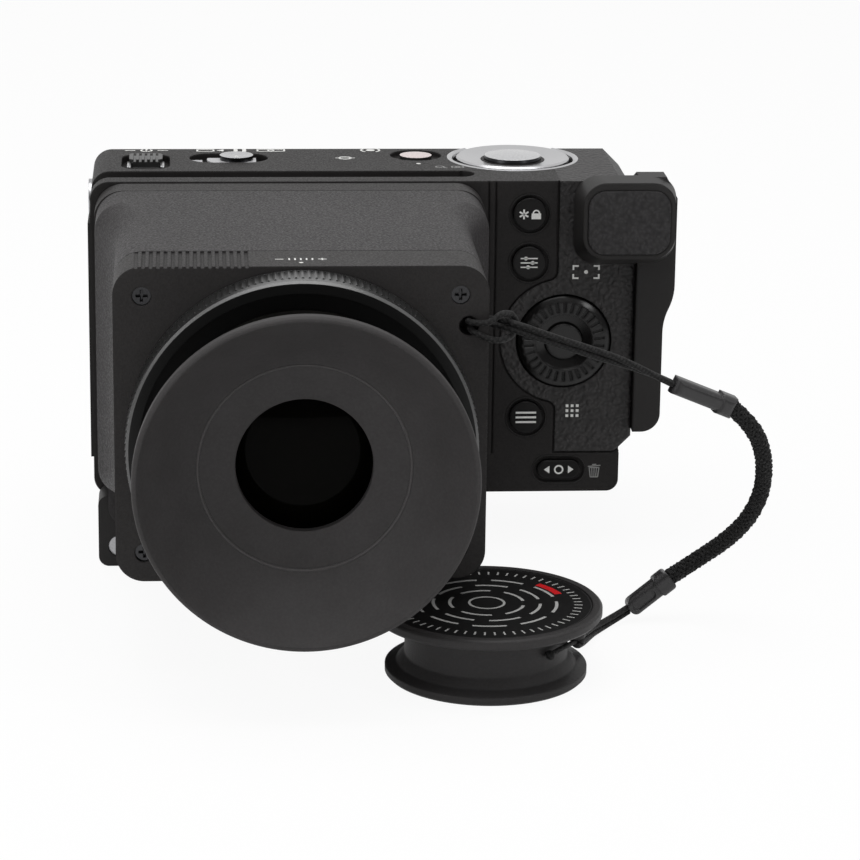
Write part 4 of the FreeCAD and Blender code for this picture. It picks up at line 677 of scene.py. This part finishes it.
def join_rings(faces, base, rings, around):
    """Adds the side faces and both ends of a row of vertex rings that starts at vertex base."""
    for i in range(rings - 1):
        for k in range(around):
            a = base + i * around + k
            b = base + i * around + (k + 1) % around
            faces.append((a, b, b + around, a + around))
    faces.append(tuple(base + k for k in reversed(range(around))))
    last = base + (rings - 1) * around
    faces.append(tuple(last + k for k in range(around)))


def tube_mesh(verts, faces, centres, radius, around=8):
    """Adds a closed tube of that radius along centres to the lists verts and faces."""
    base = len(verts)
    for centre, (_, side, up) in zip(centres, frames_along(centres)):
        for k in range(around):
            a = 2 * math.pi * k / around
            verts.append(centre + (side * math.cos(a) + up * math.sin(a)) * radius)
    join_rings(faces, base, len(centres), around)


def mesh_piece(name, verts, faces, material, body):
    mesh = bpy.data.meshes.new(name)
    mesh.from_pydata([tuple(v) for v in verts], [], faces)
    mesh.validate()
    mesh.shade_smooth()
    mesh.materials.append(material)
    piece = bpy.data.objects.new(name, mesh)
    bpy.context.scene.collection.objects.link(piece)
    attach(piece, body)
    return piece


def twin_cord(name, route, turns):
    """Two thin cords side by side; turns gives their angle about the line at a share of its length."""
    strand_r = TWIN_STRAND_R
    line, length = even_line(route_line(name + "_line", route), 0.0004)
    steps = frames_along(line)
    verts = []
    faces = []
    reach = strand_r * 1.02
    for k in range(2):
        centres = []
        for i, (point, (_, side, up)) in enumerate(zip(line, steps)):
            turn = turns(i / (len(line) - 1)) + math.pi * k
            centres.append(point + (side * math.cos(turn) + up * math.sin(turn)) * reach)
        tube_mesh(verts, faces, centres, strand_r, 10)
    return mesh_piece(name, verts, faces, CORD, "camera"), line, length


def braided_cord(name, route):
    """Braid: strands wind both ways round a core and cross over and under each other."""
    strand_r = BRAID_STRAND_R
    line, length = even_line(route_line(name + "_line", route), 0.00034)
    steps = frames_along(line)
    verts = []
    faces = []
    weave = strand_r * 0.42
    reach = BRAID_D / 2 * MM - strand_r - weave
    for way in (1, -1):
        for k in range(BRAID_STRANDS):
            centres = []
            for i, (point, (_, side, up)) in enumerate(zip(line, steps)):
                along = length * i / (len(line) - 1)
                turn = 2 * math.pi * (k / BRAID_STRANDS + way * along / BRAID_PITCH)
                phase = BRAID_STRANDS * 2 * math.pi * along / BRAID_PITCH + way * math.pi * (k % 2 + 0.5)
                r = reach + weave * way * math.sin(phase)
                centres.append(point + (side * math.cos(turn) + up * math.sin(turn)) * r)
            tube_mesh(verts, faces, centres, strand_r, 5)
    tube_mesh(verts, faces, line, reach - strand_r * 0.2, 14)
    return mesh_piece(name, verts, faces, CORD, "camera"), line, length


def smooth(share):
    """Goes from 0 to 1 with share, level at both ends."""
    share = min(1.0, max(0.0, share))
    return share * share * (3 - 2 * share)


def upper_turns(share):
    """Side by side as seen from behind at the hitch, one behind the other at the connector."""
    return math.pi * (0.5 + 0.45 * smooth((share - 0.55) / 0.45) - 0.4 * smooth(1 - share / 0.2))


def lower_turns(share):
    """Nearly over each other all along, with a slow turn."""
    return math.pi * (0.42 + 0.3 * smooth(share))


def make_lanyard():
    upper, upper_line, upper_length = twin_cord("upper_cord_strands", UPPER_ROUTE, upper_turns)
    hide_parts("upper_cord")
    strap, strap_line, strap_length = braided_cord("wrist_strap_braid", STRAP_ROUTE)
    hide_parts("wrist_strap")
    lower, lower_line, lower_length = twin_cord("lower_cord_strands", LOWER_ROUTE, lower_turns)
    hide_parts("lower_cord")
    dress(CORD, "hitch_loop")


# Printed marks and small inlays: flat shapes in millimetres, given a thin body

def bar(x0, y0, x1, y1, width):
    """Straight stroke."""
    dx = x1 - x0
    dy = y1 - y0
    span = math.hypot(dx, dy)
    nx = -dy / span * width / 2
    ny = dx / span * width / 2
    return [(x0 + nx, y0 + ny), (x0 - nx, y0 - ny), (x1 - nx, y1 - ny), (x1 + nx, y1 + ny)]


def block(x0, y0, x1, y1):
    """Filled rectangle."""
    return [(x0, y0), (x1, y0), (x1, y1), (x0, y1)]


def round_shape(x, y, r, angles):
    return [(x + r * math.cos(a), y + r * math.sin(a)) for a in angles]


def dot(x, y, r, count=20):
    return round_shape(x, y, r, [2 * math.pi * i / count for i in range(count)])


def arc(x, y, r, width, start, end, count=14):
    """Part of a ring between two angles in degrees, as one closed outline."""
    angles = [math.radians(start + (end - start) * i / count) for i in range(count + 1)]
    outer = round_shape(x, y, r + width / 2, angles)
    inner = round_shape(x, y, r - width / 2, angles[::-1])
    return outer + inner


def ring(x, y, r, width):
    return [arc(x, y, r, width, 0, 180, 20), arc(x, y, r, width, 180, 360, 20)]


def frame_of(x0, y0, x1, y1, width):
    """Outline of a rectangle, as four strokes."""
    corners = [(x0, y0), (x1, y0), (x1, y1), (x0, y1), (x0, y0)]
    return [bar(*a, *b, width) for a, b in zip(corners, corners[1:])]


def on_level(z):
    """Placing function for marks on a level face at height z."""
    def place(x, y, h):
        return at(x, y, z + h)
    return place


def on_upright(y):
    """Placing function for marks on an upright face that looks back from depth y."""
    def place(x, z, h):
        return at(x, y - h, z)
    return place


def on_label(x, y, h):
    return at(CAP[0] + x, CAP[1] + y, LABEL_TOP + h)


on_top = on_level(BODY_H)
on_cover_top = on_level(COVER_TOP)
on_plate = on_level(SLOT_PLATE)
on_slot_floor = on_level(SLOT_FLOOR)
on_mode_knob = on_level(MODE_KNOB_TOP)
on_rear = on_upright(0.0)
on_button = on_upright(BUTTON_FACE)


def printed(name, shapes, place, material, body="camera", thick=0.03, sunk=0.05):
    """Flat piece on a face: it stands thick over the face and reaches sunk into it."""
    mesh = bmesh.new()
    for shape in shapes:
        low = [mesh.verts.new(place(x, y, -sunk)) for x, y in shape]
        high = [mesh.verts.new(place(x, y, thick)) for x, y in shape]
        mesh.faces.new(low)
        mesh.faces.new(high)
        for i in range(len(shape)):
            j = (i + 1) % len(shape)
            mesh.faces.new((low[i], low[j], high[j], high[i]))
    bmesh.ops.recalc_face_normals(mesh, faces=mesh.faces)
    data = bpy.data.meshes.new(name)
    mesh.to_mesh(data)
    mesh.free()
    data.materials.append(material)
    piece = bpy.data.objects.new(name, data)
    bpy.context.scene.collection.objects.link(piece)
    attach(piece, body)
    return piece


def mark_top():
    w = 0.42
    cx = POWER_X
    shapes = [arc(cx, 32.4, 1.15, w, -230, 50), bar(cx, 32.3, cx, 34.2, w)]
    for side in (-1, 1):
        shapes.append(bar(cx + side * 2.4, 32.4, cx + side * 4.7, 32.4, w))
    left = -31.2
    shapes += frame_of(left - 2.6, 31.4, left + 0.9, 33.4, w)
    shapes.append([(left + 1.5, 32.4), (left + 3.1, 31.4), (left + 3.1, 33.4)])
    shapes += [block(x, 30.9, x + 0.85, 34.0) for x in (-25.9, -24.05)]
    right = -17.8
    shapes += frame_of(right - 2.9, 31.3, right + 2.9, 33.5, w) + ring(right, 32.4, 0.62, w * 0.8)
    shapes += [dot(3.9, 32.4, 1.0), arc(3.9, 32.4, 2.0, w, -55, 55), arc(3.9, 32.4, 2.0, w, 125, 235)]
    shapes += [bar(-4.1, 24.1, 0.15, 24.1, 0.34)]
    shapes += ring(-1.98, 24.1, 1.3, 0.42)
    printed("top_marks", shapes, on_top, WHITE_PRINT)
    icons = ring(17.9, 14.6, 0.85, 0.34) + [bar(18.5, 14.0, 19.4, 13.3, 0.42)]
    icons += frame_of(20.5, 13.7, 22.9, 15.2, 0.34) + ring(21.7, 14.45, 0.42, 0.26)
    printed("top_icons", icons, on_top, GREY_PRINT)
    # The microphone holes are black discs on the plate: painted shade in place of open holes.
    holes = [dot(11.9, 18.6, 0.55), dot(15.3, 18.6, 0.55), bar(12.3, 18.9, 15.0, 18.9, 0.5)]
    printed("microphone_holes", holes, on_top, LABEL_BLACK, thick=0.012)
    printed("microphone_mark", [dot(13.55, 18.0, 0.5)], on_top, WHITE_PRINT)


def mark_finder():
    w = 0.34
    y = -69.0
    cx = EYE_AXIS[0]
    shapes = [bar(cx - 4.9, y, cx - 3.3, y, w), bar(cx + 3.3, y, cx + 4.9, y, w),
              bar(cx + 4.1, y - 0.8, cx + 4.1, y + 0.8, w)]
    shapes += [bar(cx + x, y - 0.7, cx + x, y + 0.7, w * 0.9) for x in (-2.2, -1.1, 0.0, 1.1, 2.2)]
    shapes.append(dot(cx, -71.8, 0.42))
    printed("dioptre_scale", shapes, on_cover_top, WHITE_PRINT)


def mark_buttons():
    w = 0.36
    x = BUTTON_X
    z = BUTTON_Z[0]
    star = [bar(x - 1.3 + 1.05 * math.cos(a), z + 1.05 * math.sin(a), x - 1.3 - 1.05 * math.cos(a),
                z - 1.05 * math.sin(a), w) for a in (math.radians(30), math.radians(90), math.radians(150))]
    lock = [block(x + 0.3, z - 1.05, x + 2.3, z + 0.2), arc(x + 1.3, z + 0.2, 0.65, 0.3, 0, 180, 10)]
    printed("exposure_lock_icon", star + lock, on_button, WHITE_PRINT, "exposure_lock")
    z = BUTTON_Z[1]
    rows = []
    for dz, knob in ((0.95, -0.7), (0.0, 0.75), (-0.95, -0.2)):
        rows += [bar(x - 1.8, z + dz, x + 1.8, z + dz, 0.26), dot(x + knob, z + dz, 0.42, 14)]
    printed("quick_set_icon", rows, on_button, WHITE_PRINT, "quick_set")
    z = BUTTON_Z[2]
    rows = [bar(x - 2.2, z + dz, x + 2.2, z + dz, 0.42) for dz in (1.05, 0.0, -1.05)]
    printed("menu_icon", rows, on_button, WHITE_PRINT, "menu")
    x, z = MODE_BUTTON
    shapes = [[(x + side * 3.2, z), (x + side * 2.0, z - 0.85), (x + side * 2.0, z + 0.85)]
              for side in (-1, 1)]
    shapes += ring(x, z, 0.85, 0.34)
    printed("mode_icon", shapes, on_button, WHITE_PRINT, "mode")


def mark_rear():
    w = 0.36
    x = 48.2
    z = 48.6
    shapes = [dot(x, z, 0.42)]
    for sx in (-1, 1):
        for sz in (-1, 1):
            cx = x + sx * 2.9
            cz = z + sz * 1.15
            shapes.append(bar(cx, cz + sz * w / 2, cx - sx * 1.3, cz + sz * w / 2, w))
            shapes.append(bar(cx - sx * w / 2, cz, cx - sx * w / 2, cz - sz * 0.7, w))
    for i in range(3):
        for j in range(3):
            cx = 44.85 + i * 1.1
            cz = 16.95 + j * 1.1
            shapes.append(block(cx - 0.3, cz - 0.3, cx + 0.3, cz + 0.3))
    printed("rear_marks", shapes, on_rear, WHITE_PRINT)
    x = 51.05
    z = 4.6
    w = 0.24
    bin_marks = [bar(x - 1.35, z + 0.9, x + 1.35, z + 1.15, w), bar(x - 0.45, z + 1.3, x + 0.45, z + 1.38, w),
                 bar(x - 1.05, z + 0.7, x - 0.8, z - 1.45, w), bar(x + 1.05, z + 0.7, x + 0.8, z - 1.45, w),
                 bar(x - 0.85, z - 1.45, x + 0.85, z - 1.45, w), bar(x - 1.1, z + 0.65, x + 1.1, z + 0.65, w)]
    bin_marks += [bar(x + dx, z + 0.5, x + dx * 0.8, z - 1.3, w * 0.8) for dx in (-0.5, 0.0, 0.5)]
    printed("bin_icon", bin_marks, on_rear, GREY_PRINT)


def mark_cap():
    """Plain pattern on the cap: ticks round the edge, broken rings, and one red segment."""
    shapes = [bar(17.0 * math.cos(a), 17.0 * math.sin(a), 18.6 * math.cos(a), 18.6 * math.sin(a), 0.34)
              for a in (2 * math.pi * i / 60 for i in range(60))]
    for r, breaks in ((13.6, 9), (10.4, 7), (7.2, 5)):
        for i in range(breaks):
            start = 360.0 * i / breaks + r
            shapes.append(arc(0.0, 0.0, r, 0.62, start, start + 250.0 / breaks, 12))
    shapes += ring(0.0, 0.0, 3.4, 0.5)
    printed("cap_pattern", shapes, on_label, LABEL_PRINT)
    red = [arc(0.0, 0.0, 15.2, 1.5, 18, 44, 10)]
    printed("cap_red_segment", red, on_label, RED_PRINT)


def add_bead(name, body):
    """Round bead in the eyecup's crease, right round the eyepiece's axis."""
    middle_r = CREASE[0] + 0.35
    middle_y = CREASE[1] - 0.15
    thick = 0.32
    around = 96
    section = 8
    verts = []
    faces = []
    for i in range(around):
        a = 2 * math.pi * i / around
        for k in range(section):
            b = 2 * math.pi * k / section
            r = middle_r + thick * math.cos(b)
            y = middle_y + thick * math.sin(b)
            verts.append(at(EYE_AXIS[0] + r * math.cos(a), y, EYE_AXIS[1] + r * math.sin(a)))
    for i in range(around):
        j = (i + 1) % around
        for k in range(section):
            n = (k + 1) % section
            faces.append((i * section + k, i * section + n, j * section + n, j * section + k))
    piece = mesh_piece(name, verts, faces, BEAD_RUBBER, body)


def add_knot():
    """Stopper knot of the lower cord under the cap's disc, its tail round the neck and the tail's end."""
    verts = []
    faces = []
    loops = ((38.7, -80.1, -5.7, 0.62, 0.55, (1, 0, 0.3)), (38.9, -80.0, -5.5, 0.72, 0.5, (0.2, 1, 0.4)),
             (38.5, -80.3, -5.9, 0.55, 0.5, (0.5, -0.4, 1)))
    for x, y, z, reach, strand, axis in loops:
        axis = Vector(axis).normalized()
        side = axis.cross(Vector((0.3, 0.2, 1.0))).normalized()
        up = axis.cross(side)
        centres = []
        for i in range(25):
            a = 2 * math.pi * 0.94 * i / 24
            centres.append(at(x, y, z) + (side * math.cos(a) + up * math.sin(a)) * reach * MM)
        tube_mesh(verts, faces, centres, strand * MM)
    tail = [(38.2, -80.8, -5.3), (37.0, -83.6, -4.7), (35.0, -86.3, -4.6), (32.9, -88.2, -5.0)]
    line, _ = even_line(route_line("knot_tail", tail), 0.0005)
    tube_mesh(verts, faces, line, 0.0005)
    end = (32.6, -88.4, -5.2)
    end_r = 0.95
    around = 10
    base = len(verts)
    for t, share in ((-0.85, 0.45), (-0.6, 0.8), (-0.2, 1.0), (0.2, 1.0), (0.6, 0.8), (0.85, 0.45)):
        centre = at(end[0] + t, end[1] - t * 0.2, end[2])
        for k in range(around):
            a = 2 * math.pi * k / around
            verts.append(centre + Vector((0, math.cos(a), math.sin(a))) * end_r * share * MM)
    join_rings(faces, base, 6, around)
    piece = mesh_piece("lower_cord_knot", verts, faces, CORD, "camera")


def add_inlays():
    """Bright plates in the mode slot, a dot, rims round the buttons, the label's edge, a bead and a knot."""
    moving = [(-29.5, 20.3), (-30.2, 20.8), (-31.0, 21.7), (-31.6, 23.0), (-31.8, 24.4), (-31.6, 25.8),
              (-21.2, 25.8), (-21.2, 20.3)]
    printed("slot_plate", [moving], on_plate, SATIN, "mode_slider", 0.0, 0.36)
    fixed = [(-32.75, 20.75), (-33.8, 20.9), (-34.6, 21.8), (-35.15, 23.0), (-35.35, 24.4), (-35.15, 25.8),
             (-32.75, 25.8)]
    printed("slot_end_plate", [fixed], on_slot_floor, SATIN, "camera", 0.85, 0.05)
    printed("mode_dot", [dot(*MODE_KNOB, 0.45)], on_mode_knob, WHITE_PRINT, "mode_slider")
    rims = []
    for z in BUTTON_Z:
        rims += ring(BUTTON_X, z, 4.3, 0.22)
    x, z = MODE_BUTTON
    rims += [arc(x - 2.6, z, 3.1, 0.2, 90, 270), arc(x + 2.6, z, 3.1, 0.2, -90, 90),
             bar(x - 2.6, z + 3.1, x + 2.6, z + 3.1, 0.2), bar(x - 2.6, z - 3.1, x + 2.6, z - 3.1, 0.2)]
    printed("button_rims", rims, on_rear, GRIP_PAINT, thick=0.13)
    printed("label_edge", ring(0.0, 0.0, LABEL_R - 0.3, 0.16), on_label, CAP_PLASTIC)
    add_bead("eyecup_bead", "camera")
    add_knot()


aim_camera()
light_stage()
dress_solids()
make_lanyard()
mark_top()
mark_finder()
mark_buttons()
mark_rear()
mark_cap()
add_inlays()
